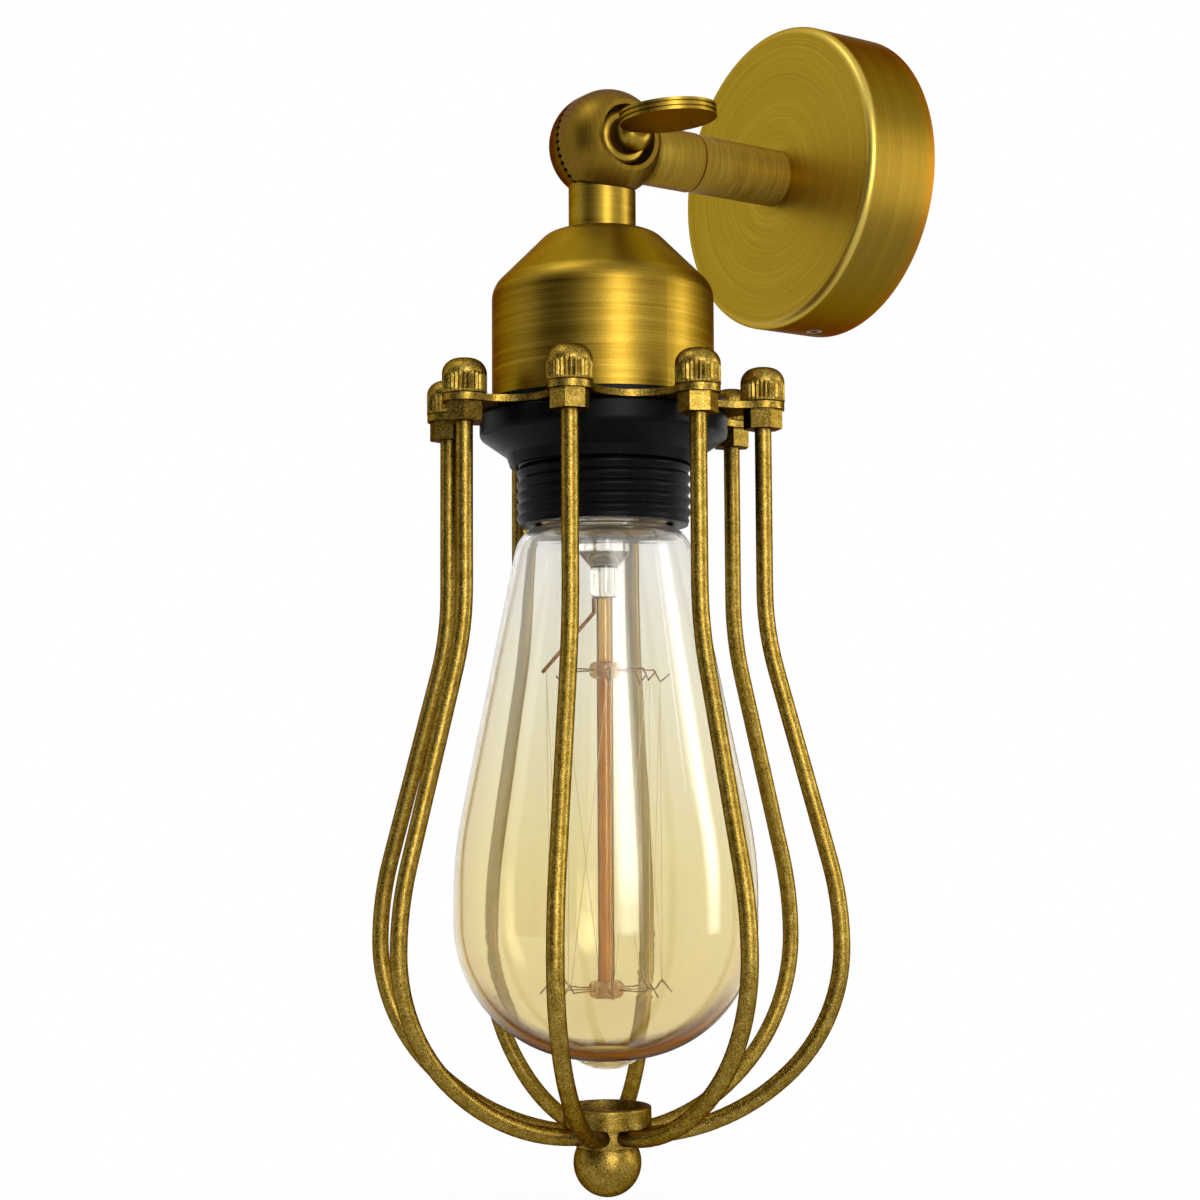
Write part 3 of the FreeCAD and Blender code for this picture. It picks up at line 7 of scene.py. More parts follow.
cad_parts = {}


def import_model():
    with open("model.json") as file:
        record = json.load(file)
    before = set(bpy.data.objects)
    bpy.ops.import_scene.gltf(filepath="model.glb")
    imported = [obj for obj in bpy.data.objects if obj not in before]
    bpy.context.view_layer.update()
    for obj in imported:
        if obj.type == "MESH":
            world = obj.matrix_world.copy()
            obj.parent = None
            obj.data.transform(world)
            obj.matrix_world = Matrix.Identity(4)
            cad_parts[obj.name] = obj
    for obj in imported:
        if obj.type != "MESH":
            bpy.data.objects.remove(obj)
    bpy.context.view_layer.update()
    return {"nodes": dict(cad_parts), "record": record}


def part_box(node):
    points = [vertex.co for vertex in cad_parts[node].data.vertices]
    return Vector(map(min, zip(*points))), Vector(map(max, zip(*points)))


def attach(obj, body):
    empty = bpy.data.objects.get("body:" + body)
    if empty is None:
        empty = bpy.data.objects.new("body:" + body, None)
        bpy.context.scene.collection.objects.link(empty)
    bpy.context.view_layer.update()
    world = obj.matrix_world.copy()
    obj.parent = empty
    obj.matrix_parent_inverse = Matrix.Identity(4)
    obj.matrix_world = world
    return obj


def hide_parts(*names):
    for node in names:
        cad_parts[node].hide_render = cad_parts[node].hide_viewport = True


# Looks of a cage wall light.  Sizes are in millimetres and turned into metres where a mesh
# is made.  The lamp hangs along -Z under the knuckle, whose centre is KNUCKLE.

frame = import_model()

MM = 0.001
KNUCKLE = Vector((0, -68.3, 0))
PLATE_TOP = -60.5
LOBES = 8
LOBE_CIRCLE = 36
CANOPY_RADIUS, CANOPY_FACE = 36, -19
GLASS_MOUTH, GLASS_FOOT = -90, -204
RIM_TOP, RIM_FOOT = -187, -199
SEAL_RADIUS = 7.4
TOWARDS_WALL = (-0.83, 0.55)

X, Y, Z = 0, 1, 2


# ---- materials -------------------------------------------------------------------------


class Shade:
    """A material on the principled shader, with short calls for the nodes that repeat."""

    def __init__(self, name, **constants):
        self.material = bpy.data.materials.new(name)
        self.material.use_nodes = True
        self.tree = self.material.node_tree
        self.shader = self.tree.nodes["Principled BSDF"]
        self.set(**constants)
        self.place = self.node("ShaderNodeTexCoord").outputs["Object"]

    def set(self, **values):
        """Sets or links the shader's inputs; an underscore stands for a space."""
        for key, value in values.items():
            self.feed(self.shader.inputs[key.replace("_", " ")], value)

    def feed(self, socket, value):
        if isinstance(value, bpy.types.NodeSocket):
            self.tree.links.new(value, socket)
        elif socket.type == "RGBA":
            socket.default_value = (*value, 1)
        else:
            socket.default_value = value

    def node(self, kind, inputs=None, **settings):
        made = self.tree.nodes.new(kind)
        for key, value in settings.items():
            setattr(made, key, value)
        for key, value in (inputs or {}).items():
            self.feed(made.inputs[key], value)
        return made

    def math(self, operation, first, second=0.0):
        made = self.node("ShaderNodeMath", {0: first, 1: second}, operation=operation)
        return made.outputs[0]

    def stretch(self, vector, scale):
        made = self.node("ShaderNodeVectorMath", {0: vector, 1: scale}, operation="MULTIPLY")
        return made.outputs[0]

    def noise(self, vector, scale, detail=2.0, rough=0.5):
        inputs = {"Vector": vector, "Scale": scale, "Detail": detail, "Roughness": rough}
        return self.node("ShaderNodeTexNoise", inputs).outputs["Fac"]

    def flakes(self, vector, scale):
        inputs = {"Vector": vector, "Scale": scale}
        made = self.node("ShaderNodeTexVoronoi", inputs)
        return self.node("ShaderNodeSeparateColor", {0: made.outputs["Color"]}).outputs[0]

    def between(self, value, low, high, first=0.0, last=1.0):
        inputs = {0: value, 1: low, 2: high, 3: first, 4: last}
        return self.node("ShaderNodeMapRange", inputs).outputs[0]

    def ramp(self, value, *stops):
        made = self.node("ShaderNodeValToRGB", {0: value})
        points = made.color_ramp.elements
        while len(points) < len(stops):
            points.new(0.5)
        for point, (position, colour) in zip(points, stops):
            point.position = position
            point.color = (*colour, 1)
        return made.outputs[0]

    def blend(self, share, first, second, mode="MIX"):
        made = self.node("ShaderNodeMix", data_type="RGBA", blend_type=mode)
        for index, value in ((0, share), (6, first), (7, second)):
            self.feed(made.inputs[index], value)
        return made.outputs[2]

    def bump(self, height, strength, distance, under=None):
        inputs = {"Height": height, "Strength": strength, "Distance": distance}
        if under is not None:
            inputs["Normal"] = under
        return self.node("ShaderNodeBump", inputs).outputs[0]

    def cover(self, share, other):
        """Lays another shader over what is there by a share from 0 to 1."""
        surface = self.tree.nodes["Material Output"].inputs[0]
        inputs = {0: share, 1: surface.links[0].from_socket, 2: other}
        mixed = self.node("ShaderNodeMixShader", inputs)
        self.feed(surface, mixed.outputs[0])

    def polar(self, axis, centre):
        """The place from a piece's centre, its two parts across the axis and its radius."""
        middle = tuple(value * MM for value in centre)
        local = self.node("ShaderNodeVectorMath", {0: self.place, 1: middle},
                          operation="SUBTRACT")
        parts = self.node("ShaderNodeSeparateXYZ", {0: local.outputs[0]}).outputs
        across = [parts[index] for index in (X, Y, Z) if index != axis]
        squares = [self.math("MULTIPLY", part, part) for part in across]
        return parts, across, self.math("SQRT", self.math("ADD", *squares))

    def around(self, axis, centre):
        """Coordinates round a turned piece's axis, in metres along its profile: noise that is
        stretched in the first two is brush lines that run round the piece."""
        parts, across, radius = self.polar(axis, centre)
        safe = self.math("MAXIMUM", radius, 1e-5)
        inputs = {0: self.math("DIVIDE", across[0], safe),
                  1: self.math("DIVIDE", across[1], safe),
                  2: self.math("ADD", parts[axis], radius)}
        return self.node("ShaderNodeCombineXYZ", inputs).outputs[0]


BRASS_DARK = (0.125, 0.074, 0.008)
BRASS_MID = (0.262, 0.166, 0.019)
BRASS_LIGHT = (0.44, 0.305, 0.050)
BRASS_EDGE = (0.36, 0.22, 0.06)
RUST = (0.30, 0.115, 0.008)


def brushed_brass(name, axis, centre, streaks=1.0, contrast=1.0, metal=1.0, tints=()):
    """Turned and brushed antique brass: fine lines and broader streaks run round the axis.
    contrast is how much they differ, and metal below 1 is brass dulled by its lacquer.  Each
    tint is (share's function, colour, mode)."""
    shade = Shade(name, Metallic=metal, Specular_Tint=BRASS_EDGE)
    lines = shade.around(axis, centre)
    fine = shade.noise(shade.stretch(lines, (0.6, 0.6, 4200)), 1, 3, 0.7)
    broad = shade.noise(shade.stretch(lines, (0.5, 0.5, 900)), 1, 3, 0.65)
    grain = shade.noise(shade.place, 2600, 2, 0.6)
    broad_share, fine_share, grain_share = 0.55 * streaks, 0.45, 0.15
    mixed = shade.math("ADD", shade.math("MULTIPLY", broad, broad_share),
                       shade.math("MULTIPLY", fine, fine_share))
    mixed = shade.math("ADD", mixed, shade.math("MULTIPLY", grain, grain_share))
    middle = (broad_share + fine_share + grain_share) / 2
    spread = 0.20 / contrast
    colour = shade.ramp(mixed, (middle - spread, BRASS_DARK), (middle, BRASS_MID),
                        (middle + spread, BRASS_LIGHT))
    for share, tint, mode in tints:
        colour = shade.blend(share(shade), colour, tint, mode)
    shade.set(Base_Color=colour,
              Roughness=shade.between(fine, 0.25, 0.75, 0.31, 0.44),
              Normal=shade.bump(fine, 0.35, 0.00004))
    return shade.material


def along(axis, low, high):
    """Share that grows from one place to another along an axis, in millimetres."""
    def share(shade):
        place = shade.node("ShaderNodeSeparateXYZ", {0: shade.place}).outputs[axis]
        return shade.between(place, low * MM, high * MM)
    return share


def within(radius):
    """Share that is 1 inside a ball about the knuckle's centre."""
    def share(shade):
        inputs = {0: shade.place, 1: tuple(KNUCKLE * MM)}
        gap = shade.node("ShaderNodeVectorMath", inputs, operation="DISTANCE").outputs["Value"]
        return shade.between(gap, (radius + 0.3) * MM, radius * MM)
    return share


def painted_edge_highlight(shade):
    """Share of the rounded edge between the canopy's face and its rim, where a lighter colour is
    laid as a painted highlight.
    """
    parts, _, radius = shade.polar(Y, (0, 0, 0))
    outer = shade.between(radius, (CANOPY_RADIUS - 2.0) * MM, (CANOPY_RADIUS - 1.2) * MM)
    front = shade.between(parts[Y], (CANOPY_FACE + 1.8) * MM, (CANOPY_FACE + 1.2) * MM)
    return shade.math("MULTIPLY", outer, front)


def painted_rim_shade(shade):
    """Share of the canopy's rim, behind its rounded edge, which is darkened there as painted
    shade.
    """
    return along(Y, CANOPY_FACE + 1.4, CANOPY_FACE + 2.2)(shade)


def painted_face_light(shade):
    """Share of the canopy's flat face, which is brightened there as painted light."""
    return along(Y, CANOPY_FACE + 1.8, CANOPY_FACE + 1.2)(shade)


def gold_paint():
    """Fine-grained metallic paint: bright and dark flakes over a soft orange peel."""
    shade = Shade("gold_paint", Metallic=1.0, Specular_Tint=(0.16, 0.10, 0.02))
    cloud = shade.noise(shade.place, 420, 3, 0.6)
    grain = shade.noise(shade.place, 3400, 3, 0.65)
    flakes = shade.flakes(shade.place, 5200)
    mixed = shade.math("ADD", shade.math("MULTIPLY", grain, 0.6),
                       shade.math("MULTIPLY", cloud, 0.25))
    mixed = shade.math("ADD", mixed, shade.math("MULTIPLY", flakes, 0.15))
    colour = shade.ramp(mixed, (0.34, (0.085, 0.047, 0.003)), (0.50, (0.20, 0.126, 0.018)),
                        (0.66, (0.46, 0.325, 0.080)))
    height = shade.math("ADD", grain, shade.math("MULTIPLY", flakes, 0.5))
    shade.set(Base_Color=colour,
              Roughness=shade.between(flakes, 0, 1, 0.26, 0.42),
              Normal=shade.bump(height, 0.5, 0.00006))
    return shade.material


def black_plastic():
    """Satin moulded phenolic with a faint mottle."""
    shade = Shade("black_plastic", IOR=1.14)
    mottle = shade.noise(shade.place, 900, 3, 0.6)
    grain = shade.noise(shade.place, 5200, 2, 0.5)
    shade.set(Base_Color=shade.ramp(mottle, (0.3, (0.0010, 0.0013, 0.0012)),
                                    (0.75, (0.0035, 0.0050, 0.0045))),
              Roughness=shade.between(mottle, 0.3, 0.7, 0.30, 0.44),
              Normal=shade.bump(grain, 0.25, 0.00004))
    return shade.material


def zinc_steel():
    shade = Shade("zinc_steel", Metallic=1.0)
    spangle = shade.flakes(shade.place, 700)
    grain = shade.noise(shade.stretch(shade.place, (900, 900, 4500)), 1, 3, 0.6)
    mixed = shade.math("ADD", shade.math("MULTIPLY", spangle, 0.3),
                       shade.math("MULTIPLY", grain, 0.7))
    shade.set(Base_Color=shade.ramp(mixed, (0.3, (0.38, 0.39, 0.40)),
                                    (0.7, (0.66, 0.66, 0.64))),
              Roughness=shade.between(grain, 0.3, 0.7, 0.30, 0.48),
              Normal=shade.bump(grain, 0.25, 0.00004))
    return shade.material


def plain_brass():
    shade = Shade("plain_brass", Metallic=1.0)
    grain = shade.noise(shade.stretch(shade.place, (700, 700, 5200)), 1, 3, 0.6)
    cloud = shade.noise(shade.place, 350, 3, 0.6)
    mixed = shade.math("ADD", shade.math("MULTIPLY", grain, 0.5),
                       shade.math("MULTIPLY", cloud, 0.5))
    shade.set(Base_Color=shade.ramp(mixed, (0.3, (0.40, 0.25, 0.06)),
                                    (0.7, (0.74, 0.52, 0.17))),
              Roughness=shade.between(cloud, 0.3, 0.7, 0.22, 0.38),
              Normal=shade.bump(grain, 0.2, 0.00003))
    return shade.material


def ceramic():
    shade = Shade("white_ceramic", IOR=1.5, Coat_Weight=0.4, Coat_Roughness=0.1)
    speck = shade.noise(shade.place, 1500, 4, 0.7)
    shade.set(Base_Color=shade.ramp(speck, (0.3, (0.62, 0.60, 0.55)), (0.6, (0.80, 0.79, 0.75))),
              Roughness=shade.between(speck, 0.3, 0.7, 0.25, 0.4),
              Normal=shade.bump(speck, 0.1, 0.00005))
    return shade.material


def solder():
    shade = Shade("solder", Metallic=1.0)
    blots = shade.noise(shade.place, 1100, 3, 0.6)
    shade.set(Base_Color=shade.ramp(blots, (0.3, (0.40, 0.40, 0.41)), (0.7, (0.68, 0.68, 0.70))),
              Roughness=shade.between(blots, 0.3, 0.7, 0.3, 0.5),
              Normal=shade.bump(blots, 0.3, 0.0001))
    return shade.material


def lamp_glass():
    """Thin glass with an amber coating that is nearly clear by the cap, denser further down and
    a little milky on the side towards the wall.  By the foot its edge is a brown line with an
    orange heart; the seal under it is clear."""
    shade = Shade("lamp_glass", IOR=1.40, Transmission_Weight=1.0)
    parts, across, radius = shade.polar(Z, LAMP_AXIS)
    down = shade.between(parts[Z], GLASS_MOUTH * MM, GLASS_FOOT * MM)
    face = shade.ramp(down, (0.0, (0.995, 0.985, 0.96)), (0.35, (0.985, 0.955, 0.81)),
                      (0.65, (0.975, 0.91, 0.65)), (1.0, (0.955, 0.865, 0.58)))
    edge = shade.ramp(down, (0.0, (0.86, 0.80, 0.72)), (0.5, (0.74, 0.56, 0.26)),
                      (1.0, (0.55, 0.30, 0.08)))
    aside = shade.node("ShaderNodeLayerWeight", {"Blend": 0.5}).outputs["Facing"]
    ripple = shade.noise(shade.place, 60, 2, 0.5)
    shade.set(Base_Color=shade.blend(shade.between(aside, 0.45, 0.95), face, edge),
              Roughness=shade.between(ripple, 0.3, 0.7, 0.0, 0.03),
              Normal=shade.bump(ripple, 0.05, 0.0005))
    tint = shade.ramp(down, (0.0, (0.98, 0.96, 0.92)), (0.35, (0.97, 0.92, 0.72)),
                      (0.65, (0.96, 0.86, 0.52)), (1.0, (0.92, 0.76, 0.38)))
    both = {0: 0.5, 1: shade.node("ShaderNodeBsdfDiffuse", {"Color": tint}).outputs[0],
            2: shade.node("ShaderNodeBsdfTranslucent", {"Color": tint}).outputs[0]}
    coating = shade.node("ShaderNodeMixShader", both).outputs[0]
    behind = shade.math("ADD", shade.math("MULTIPLY", across[0], TOWARDS_WALL[0]),
                        shade.math("MULTIPLY", across[1], TOWARDS_WALL[1]))
    shade.cover(shade.between(behind, -22 * MM, 22 * MM, 0.02, 0.20), coating)
    rim = shade.node("ShaderNodeBsdfDiffuse", {"Color": shade.ramp(
        aside, (0.58, (0.05, 0.017, 0.004)), (0.72, (0.30, 0.10, 0.012)),
        (0.90, (0.025, 0.008, 0.002)))})
    low = shade.math("MULTIPLY", shade.between(parts[Z], RIM_TOP * MM, RIM_FOOT * MM),
                     shade.between(radius, SEAL_RADIUS * MM, (SEAL_RADIUS + 1) * MM))
    foot = shade.math("MULTIPLY", low, shade.between(aside, 0.56, 0.66, 0.0, 0.92))
    side = shade.between(aside, 0.90, 0.99, 0.0, 0.25)
    shade.cover(shade.math("MAXIMUM", foot, side), rim.outputs[0])
    return shade.material


def clear_glass():
    shade = Shade("stem_glass", IOR=1.5, Transmission_Weight=1.0)
    ripple = shade.noise(shade.place, 260, 2, 0.5)
    shade.set(Base_Color=shade.ramp(ripple, (0.3, (0.90, 0.90, 0.86)), (0.7, (0.97, 0.97, 0.95))),
              Roughness=shade.between(ripple, 0.3, 0.7, 0.0, 0.05),
              Normal=shade.bump(ripple, 0.3, 0.0004))
    return shade.material


def amber_glass():
    """Amber rod: orange in the middle and brown along its edges, paler above its upper bead."""
    shade = Shade("amber_glass", IOR=1.5, Transmission_Weight=0.35)
    ripple = shade.noise(shade.stretch(shade.place, (1, 1, 0.2)), 700, 3, 0.6)
    aside = shade.node("ShaderNodeLayerWeight", {"Blend": 0.5}).outputs["Facing"]
    height = shade.node("ShaderNodeSeparateXYZ", {0: shade.place}).outputs[Z]
    deep = shade.ramp(ripple, (0.3, (0.50, 0.17, 0.006)), (0.7, (0.70, 0.31, 0.020)))
    heart = shade.blend(shade.between(height, -0.122, -0.112), deep, (0.80, 0.52, 0.16))
    shade.set(Base_Color=shade.blend(shade.between(aside, 0.25, 0.55), heart,
                                     (0.09, 0.028, 0.006)),
              Roughness=shade.between(ripple, 0.3, 0.7, 0.05, 0.2),
              Normal=shade.bump(ripple, 0.2, 0.0002))
    return shade.material


def bead_with_hooks(name, bead):
    """An amber bead as far as its radius, and oxidised wire beyond it."""
    shade = Shade(name, IOR=1.5)
    wire = shade.between(shade.polar(Z, LAMP_AXIS)[2], bead * MM, (bead + 0.1) * MM)
    ripple = shade.noise(shade.place, 500, 3, 0.6)
    glass = shade.ramp(ripple, (0.35, (0.62, 0.30, 0.09)), (0.65, (0.92, 0.70, 0.38)))
    metal = shade.ramp(ripple, (0.3, (0.16, 0.09, 0.05)), (0.7, (0.34, 0.24, 0.15)))
    shade.set(Base_Color=shade.blend(wire, glass, metal), Metallic=wire,
              Transmission_Weight=shade.between(wire, 0, 1, 0.7, 0.0),
              Roughness=shade.between(ripple, 0.3, 0.7, 0.12, 0.3),
              Normal=shade.bump(ripple, 0.2, 0.0002))
    return shade.material


def wire_metal(name, dark, light):
    shade = Shade(name, Metallic=1.0)
    cloud = shade.noise(shade.place, 1500, 3, 0.6)
    shade.set(Base_Color=shade.ramp(cloud, (0.3, dark), (0.7, light)),
              Roughness=shade.between(cloud, 0.3, 0.7, 0.3, 0.5),
              Normal=shade.bump(cloud, 0.2, 0.00003))
    return shade.material


LAMP_AXIS = (0, KNUCKLE.y, 0)
FINISHES = {
    "gold_paint": gold_paint(),
    "zinc_steel": zinc_steel(),
    "plain_brass": plain_brass(),
    "black_plastic": black_plastic(),
    "white_ceramic": ceramic(),
    "solder": solder(),
    "lamp_glass": lamp_glass(),
    "amber_glass": amber_glass(),
    "bronze_wire": wire_metal("bronze_wire", (0.10, 0.045, 0.02), (0.30, 0.16, 0.07)),
    "filament_wire": wire_metal("filament_wire", (0.42, 0.34, 0.24), (0.66, 0.56, 0.40)),
}
OWN_FINISHES = {
    "wall_canopy": brushed_brass("brass_canopy", Y, (0, 0, 0), 0.4, 0.55, tints=[
        # the flat face is brightened as painted light
        (painted_face_light, (1.38, 1.42, 1.45), "MULTIPLY"),
        # the outer edge of the face is lightened as a painted highlight
        (painted_edge_highlight, (0.50, 0.36, 0.07), "MIX"),
        # the rim is darkened as painted shade
        (painted_rim_shade, (0.72, 0.70, 0.72), "MULTIPLY"),
        (along(Y, -3.0, 0.5), RUST, "MIX")]),
    "lamp_cup": brushed_brass("brass_cup", Z, LAMP_AXIS, 0.8, 0.8, tints=[
        # the cylinder below the shoulder is darkened as painted shade and the part above it
        # brightened as painted light
        (along(Z, -31, -35), (0.82, 0.79, 0.72), "MULTIPLY"),
        (along(Z, -35, -31), (1.14, 1.17, 1.20), "MULTIPLY")]),
    "arm_tube": brushed_brass("brass_tube", Y, (0, 0, 0), 0.8, 0.8, 0.5),
    "arm_knuckle": brushed_brass("brass_arm_knuckle", Y, (0, 0, 0), 0.5, 0.7, 0.8, [
        (within(13.8), (0.62, 0.58, 0.50), "MULTIPLY"),
        (along(Y, -44.6, -43.6), RUST, "MIX")]),
    "lamp_knuckle": brushed_brass("brass_lamp_knuckle", Z, LAMP_AXIS, 0.5, 0.7, tints=[
        (within(12.0), (0.50, 0.46, 0.38), "MULTIPLY")]),
    "thumb_screw": brushed_brass("brass_thumb_screw", X, LAMP_AXIS, 0.2, 0.5),
    "thumb_washer": brushed_brass("brass_washer", X, LAMP_AXIS, 0.5, 0.7),
    "canopy_screws": wire_metal("dark_screw", (0.05, 0.035, 0.02), (0.16, 0.11, 0.06)),
    "glass_stem": clear_glass(),
    "upper_hooks": bead_with_hooks("upper_bead", 3.45),
    "lower_hooks": bead_with_hooks("lower_bead", 3.95),
}


def paint_frame():
    """Gives each node of the frame the material of its slot, or its own."""
    for part in frame["record"]["subparts"]:
        name = part["node"]
        material = OWN_FINISHES.get(name) or FINISHES[part["material_slot"]]
        mesh = frame["nodes"][name].data
        mesh.materials.clear()
        mesh.materials.append(material)


# ---- meshes ----------------------------------------------------------------------------


def add_piece(name, points, faces, body, slot, stands_for=(), material=None):
    """A smooth mesh, in the frame's millimetres, that rides on a body."""
    mesh = bpy.data.meshes.new(name)
    mesh.from_pydata([Vector(point) * MM for point in points], [], faces)
    mesh.validate()
    mesh.materials.append(material or FINISHES[slot])
    mesh.shade_smooth()
    mesh.set_sharp_from_angle(angle=math.radians(38))
    piece = bpy.data.objects.new(name, mesh)
    bpy.context.scene.collection.objects.link(piece)
    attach(piece, body)
    if stands_for:
        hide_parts(*stands_for)
    return piece


def spun(profile, steps, centre, wave=None, closed=False):
    """Points and faces of a profile of (radius, height) turned round a vertical axis.
    wave(angle, radius, height) returns a changed radius.  A profile that isn't closed has a
    radius of 0 at each end."""
    points, rings = [], []
    for radius, height in profile:
        if radius == 0:
            rings.append([len(points)] * steps)
            points.append((centre[X], centre[Y], centre[Z] + height))
            continue
        ring = []
        for step in range(steps):
            angle = 2 * math.pi * step / steps
            reach = wave(angle, radius, height) if wave else radius
            ring.append(len(points))
            points.append((centre[X] + reach * math.cos(angle),
                           centre[Y] + reach * math.sin(angle), centre[Z] + height))
        rings.append(ring)
    pairs = list(zip(rings, rings[1:]))
    if closed:
        pairs.append((rings[-1], rings[0]))
    faces = []
    for low, high in pairs:
        for step in range(steps):
            after = (step + 1) % steps
            corners = [low[step], low[after], high[after], high[step]]
            face = [c for i, c in enumerate(corners) if c not in corners[:i]]
            if len(face) > 2:
                faces.append(face)
    return points, faces


def together(parts):
    """Joins several (points, faces) into one."""
    points, faces = [], []
    for more, sides in parts:
        start = len(points)
        points += more
        faces += [[start + corner for corner in side] for side in sides]
    return points, faces


def arc(centre, radius, start, end, steps):
    """Points of an arc of a profile, in degrees from the radius's own direction."""
    made = []
    for step in range(steps + 1):
        angle = math.radians(start + (end - start) * step / steps)
        made.append((centre[0] + radius * math.cos(angle),
                     centre[1] + radius * math.sin(angle)))
    return made


def cap_nuts():
    """Eight cap nuts, fluted below a plain dome."""
    radius, height, dome, bevel, row = 4.9, 8.0, 3.4, 0.4, 0.3
    flutes, depth, fluted = 30, 0.32, 4.7

    def wave(angle, reach, level):
        fade = min(1, max(0, (level - 0.3) / 0.5)) * min(1, max(0, (fluted - level) / 0.6))
        return reach - depth * fade * (0.5 + 0.5 * math.cos(flutes * angle))

    side = [level * row for level in range(int((height - dome) / row) + 1)]
    profile = [(0, 0), (radius - bevel, 0), (radius, row)]
    profile += [(radius, level) for level in side if level > bevel]
    profile += arc((radius - dome, height - dome), dome, 0, 90, 8)
    profile[-1] = (radius - dome, height)
    profile += [(0, height)]
    parts = []
    for lobe in range(LOBES):
        angle = 2 * math.pi * lobe / LOBES
        centre = (LOBE_CIRCLE * math.cos(angle), KNUCKLE.y + LOBE_CIRCLE * math.sin(angle),
                  PLATE_TOP)
        parts.append(spun(profile, flutes * 4, centre, wave))
    return add_piece("knurled_cap_nuts", *together(parts), "lamp_head", "gold_paint",
                     ["cap_nuts"])


def holder_thread():
    """The lampholder's body with its rounded thread cut as one helix."""
    low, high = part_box("lampholder_body")
    mouth, top = low.z / MM, high.z / MM
    root, crest, pitch, bore = 18.9, 19.5, 2.5, 15.6
    bevel, lip, rows = 0.4, 0.5, 140
    thread_top = mouth + 15.5

    def wave(angle, reach, level):
        if reach < root - 1 or level > thread_top:
            return reach
        turn = (level - mouth) / pitch - angle / (2 * math.pi)
        ridge = (0.5 + 0.5 * math.cos(2 * math.pi * turn)) ** 0.7
        fade = min(1, max(0, level - mouth - bevel))
        return root + (crest - root) * ridge * fade

    profile = [(bore, top), (bore, mouth + lip), (bore + lip, mouth), (root - bevel, mouth),
               (root, mouth + bevel)]
    for row in range(rows + 1):
        profile.append((root, mouth + lip + (thread_top - mouth - lip) * row / rows))
    profile += [(crest, thread_top + 0.1), (crest, top)]
    return add_piece("lampholder_threaded", *spun(profile, 120, LAMP_AXIS, wave, closed=True),
                     "lamp_head", "black_plastic", ["lampholder_body"])


# ---- stage -----------------------------------------------------------------------------

AZIMUTH, ELEVATION, ROLL = 56.34, -4.67, -0.31
DISTANCE = 487.85
AIM_ALONG, AIM_HEIGHT = -0.97, -103.28
LAMP_MIDDLE = Vector((0, -0.06, -0.1))
SENSOR, LENS = 36.0, 65.59


def view_axes():
    """The camera's right, up and back directions without its roll."""
    turn, rise = math.radians(AZIMUTH), math.radians(ELEVATION)
    back = Vector((math.sin(turn) * math.cos(rise), -math.cos(turn) * math.cos(rise),
                   math.sin(rise)))
    right = Vector((math.cos(turn), math.sin(turn), 0))
    return right, back.cross(right), back


def place(thing, location, columns):
    right, up, back = columns
    matrix = Matrix((right, up, back)).transposed().to_4x4()
    matrix.translation = location
    thing.matrix_world = matrix
    bpy.context.scene.collection.objects.link(thing)


def camera():
    right, up, back = view_axes()
    roll = math.radians(ROLL)
    target = Vector((0, KNUCKLE.y, AIM_HEIGHT)) + right * AIM_ALONG
    lens = bpy.data.cameras.new("camera")
    lens.sensor_width, lens.lens = SENSOR, LENS
    lens.clip_start, lens.clip_end = 0.01, 50
    thing = bpy.data.objects.new("camera", lens)
    turned = (right * math.cos(roll) + up * math.sin(roll),
              up * math.cos(roll) - right * math.sin(roll), back)
    place(thing, (target + back * DISTANCE) * MM, turned)
    bpy.context.scene.camera = thing


def direction(side, rise):
    """The way from the lamp that lies side degrees to the camera's right and rise up."""
    turn = math.radians(AZIMUTH + side)
    lift = math.radians(rise)
    return Vector((math.sin(turn) * math.cos(lift), -math.cos(turn) * math.cos(lift),
                   math.sin(lift)))


def facing(way):
    """Axes for a thing whose -Z looks back along the way."""
    right = Vector((0, 0, 1)).cross(way).normalized()
    return right, way.cross(right), way


def soft_light(name, side, rise, distance, width, height, radiance):
    """A panel lamp that fades towards its edges; radiance is its mean."""
    lamp = bpy.data.lights.new(name, "AREA")
    lamp.shape = "RECTANGLE"
    lamp.size, lamp.size_y = width, height
    lamp.energy = radiance * math.pi * width * height
    lamp.use_nodes = True
    nodes, links = lamp.node_tree.nodes, lamp.node_tree.links
    spot = nodes.new("ShaderNodeNewGeometry").outputs["Parametric"]
    parts = nodes.new("ShaderNodeSeparateXYZ")
    links.new(spot, parts.inputs[0])
    fades, edge = [], 0.4
    for part in parts.outputs[:2]:
        for low, high in ((0.0, edge), (1.0, 1 - edge)):
            fade = nodes.new("ShaderNodeMapRange")
            fade.interpolation_type = "SMOOTHSTEP"
            fade.inputs["From Min"].default_value = low
            fade.inputs["From Max"].default_value = high
            links.new(part, fade.inputs["Value"])
            fades.append(fade.outputs[0])
    while len(fades) > 1:
        product = nodes.new("ShaderNodeMath")
        product.operation = "MULTIPLY"
        links.new(fades.pop(), product.inputs[0])
        links.new(fades.pop(), product.inputs[1])
        fades.append(product.outputs[0])
    strength = nodes.new("ShaderNodeMapRange")
    strength.inputs["To Max"].default_value = 1 / (1 - edge) ** 2
    links.new(fades[0], strength.inputs["Value"])
    links.new(strength.outputs[0], nodes["Emission"].inputs["Strength"])
    thing = bpy.data.objects.new(name, lamp)
    way = direction(side, rise)
    place(thing, LAMP_MIDDLE + way * distance, facing(way))


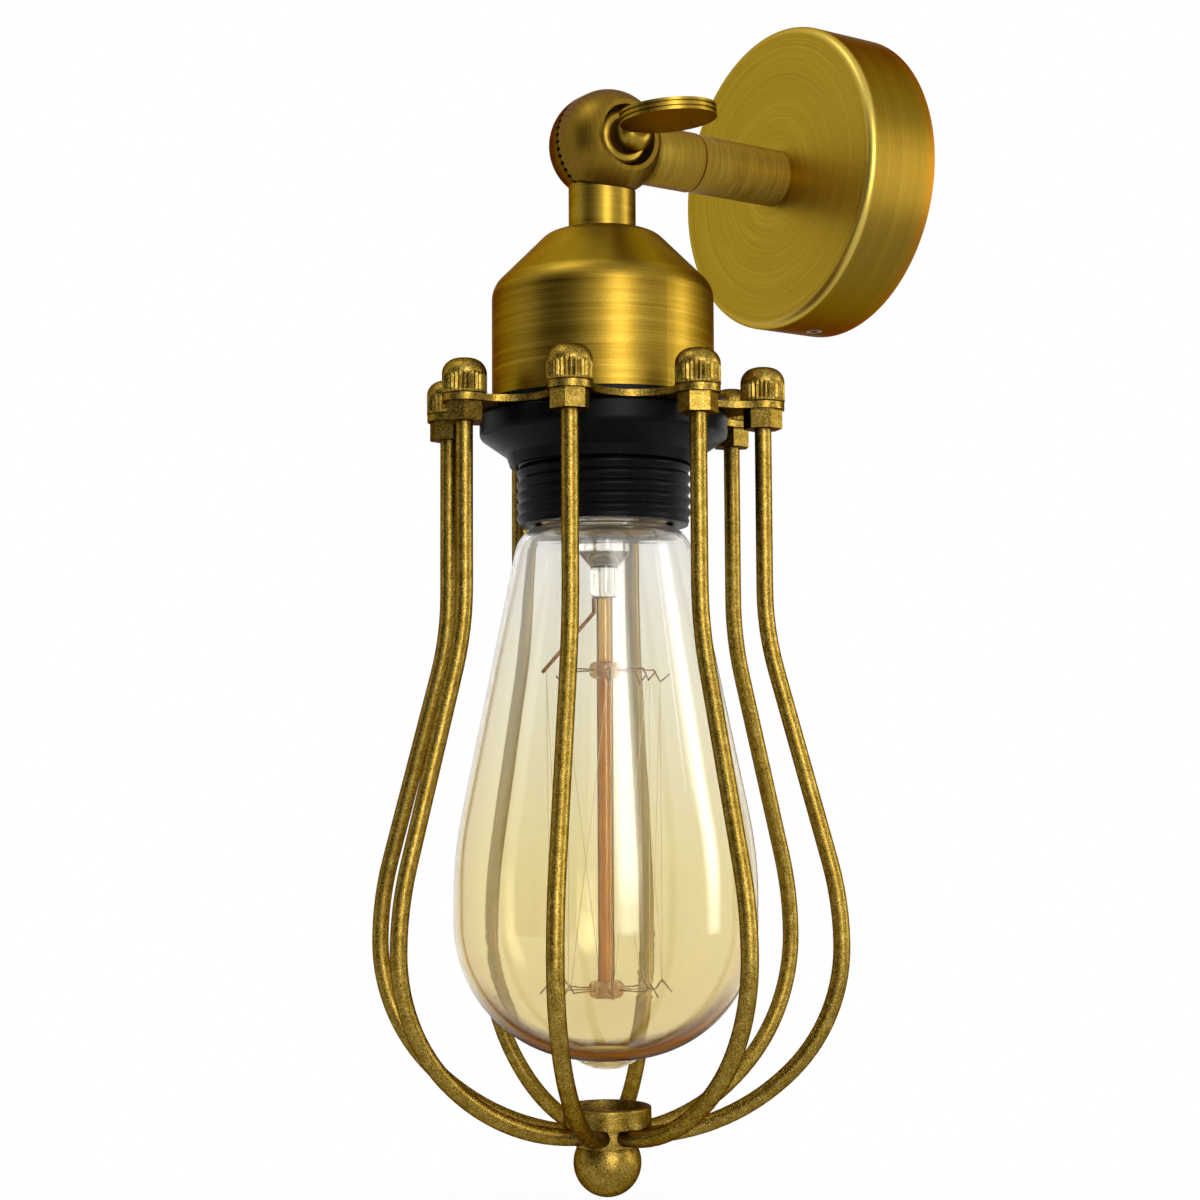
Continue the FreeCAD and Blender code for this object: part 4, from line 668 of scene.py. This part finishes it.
def dark_card(name, side, rise, distance, width, height):
    """A matt card beside the camera that darkens what the metal reflects."""
    corners = [(-width / 2, -height / 2, 0), (width / 2, -height / 2, 0),
               (width / 2, height / 2, 0), (-width / 2, height / 2, 0)]
    mesh = bpy.data.meshes.new(name)
    mesh.from_pydata(corners, [], [(0, 1, 2, 3)])
    shade = Shade(name, Roughness=0.9)
    shade.set(Base_Color=shade.ramp(shade.noise(shade.place, 40, 2), (0.3, (0.012,) * 3),
                                    (0.7, (0.02,) * 3)))
    mesh.materials.append(shade.material)
    thing = bpy.data.objects.new(name, mesh)
    way = direction(side, rise)
    place(thing, LAMP_MIDDLE + way * distance, facing(way))
    thing.visible_camera = False


def floor():
    """A plain pale floor under the lamp that looks white and keeps the lamp's shadow."""
    size, level = 4.0, -0.30
    shadow_reach, pure_from, least_glow = 0.12, 0.42, 0.72
    corners = [(-size, -size, level), (size, -size, level), (size, size, level),
               (-size, size, level)]
    mesh = bpy.data.meshes.new("floor")
    mesh.from_pydata(corners, [], [(0, 1, 2, 3)])
    shade = Shade("floor", Roughness=0.8)
    tone = shade.noise(shade.place, 30, 2)
    shade.set(Base_Color=shade.ramp(tone, (0.3, (0.84,) * 3), (0.7, (0.88,) * 3)))
    glow = shade.node("ShaderNodeEmission", {"Color": (1, 1, 1), "Strength": 1.0})
    rays = shade.node("ShaderNodeLightPath").outputs
    seen = shade.math("MAXIMUM", rays["Is Camera Ray"],
                      shade.math("MAXIMUM", rays["Is Glossy Ray"], rays["Is Transmission Ray"]))
    away = shade.node("ShaderNodeVectorMath", {0: shade.place, 1: (0, -0.068, level)},
                      operation="DISTANCE").outputs["Value"]
    share = shade.between(away, shadow_reach, pure_from, least_glow, 1.0)
    share = shade.math("MULTIPLY", seen, share)
    shade.cover(share, glow.outputs[0])
    mesh.materials.append(shade.material)
    thing = bpy.data.objects.new("floor", mesh)
    bpy.context.scene.collection.objects.link(thing)


def world():
    """White where it is seen or mirrored, and a soft fill elsewhere."""
    fill = 0.55
    sky = bpy.data.worlds.new("studio")
    sky.use_nodes = True
    nodes, links = sky.node_tree.nodes, sky.node_tree.links
    background = nodes["Background"]
    background.inputs["Color"].default_value = (1, 1, 1, 1)
    rays = nodes.new("ShaderNodeLightPath").outputs
    first = nodes.new("ShaderNodeMath")
    second = nodes.new("ShaderNodeMath")
    strength = nodes.new("ShaderNodeMapRange")
    first.operation = second.operation = "MAXIMUM"
    links.new(rays["Is Camera Ray"], first.inputs[0])
    links.new(rays["Is Glossy Ray"], first.inputs[1])
    links.new(first.outputs[0], second.inputs[0])
    links.new(rays["Is Transmission Ray"], second.inputs[1])
    links.new(second.outputs[0], strength.inputs["Value"])
    strength.inputs["To Min"].default_value = fill
    strength.inputs["To Max"].default_value = 1.0
    links.new(strength.outputs[0], background.inputs["Strength"])
    bpy.context.scene.world = sky


paint_frame()
cap_nuts()
holder_thread()
camera()
world()
floor()
soft_light("key_light", 16, 10, 0.9, 0.40, 0.9, 4.6)
soft_light("side_light", 86, 8, 0.9, 0.30, 0.9, 3.6)
soft_light("top_light", -60, 62, 1.0, 0.6, 0.6, 1.6)
dark_card("dark_card", -46, -4, 0.8, 0.75, 1.3)

scene = bpy.context.scene
scene.view_settings.view_transform = "Standard"
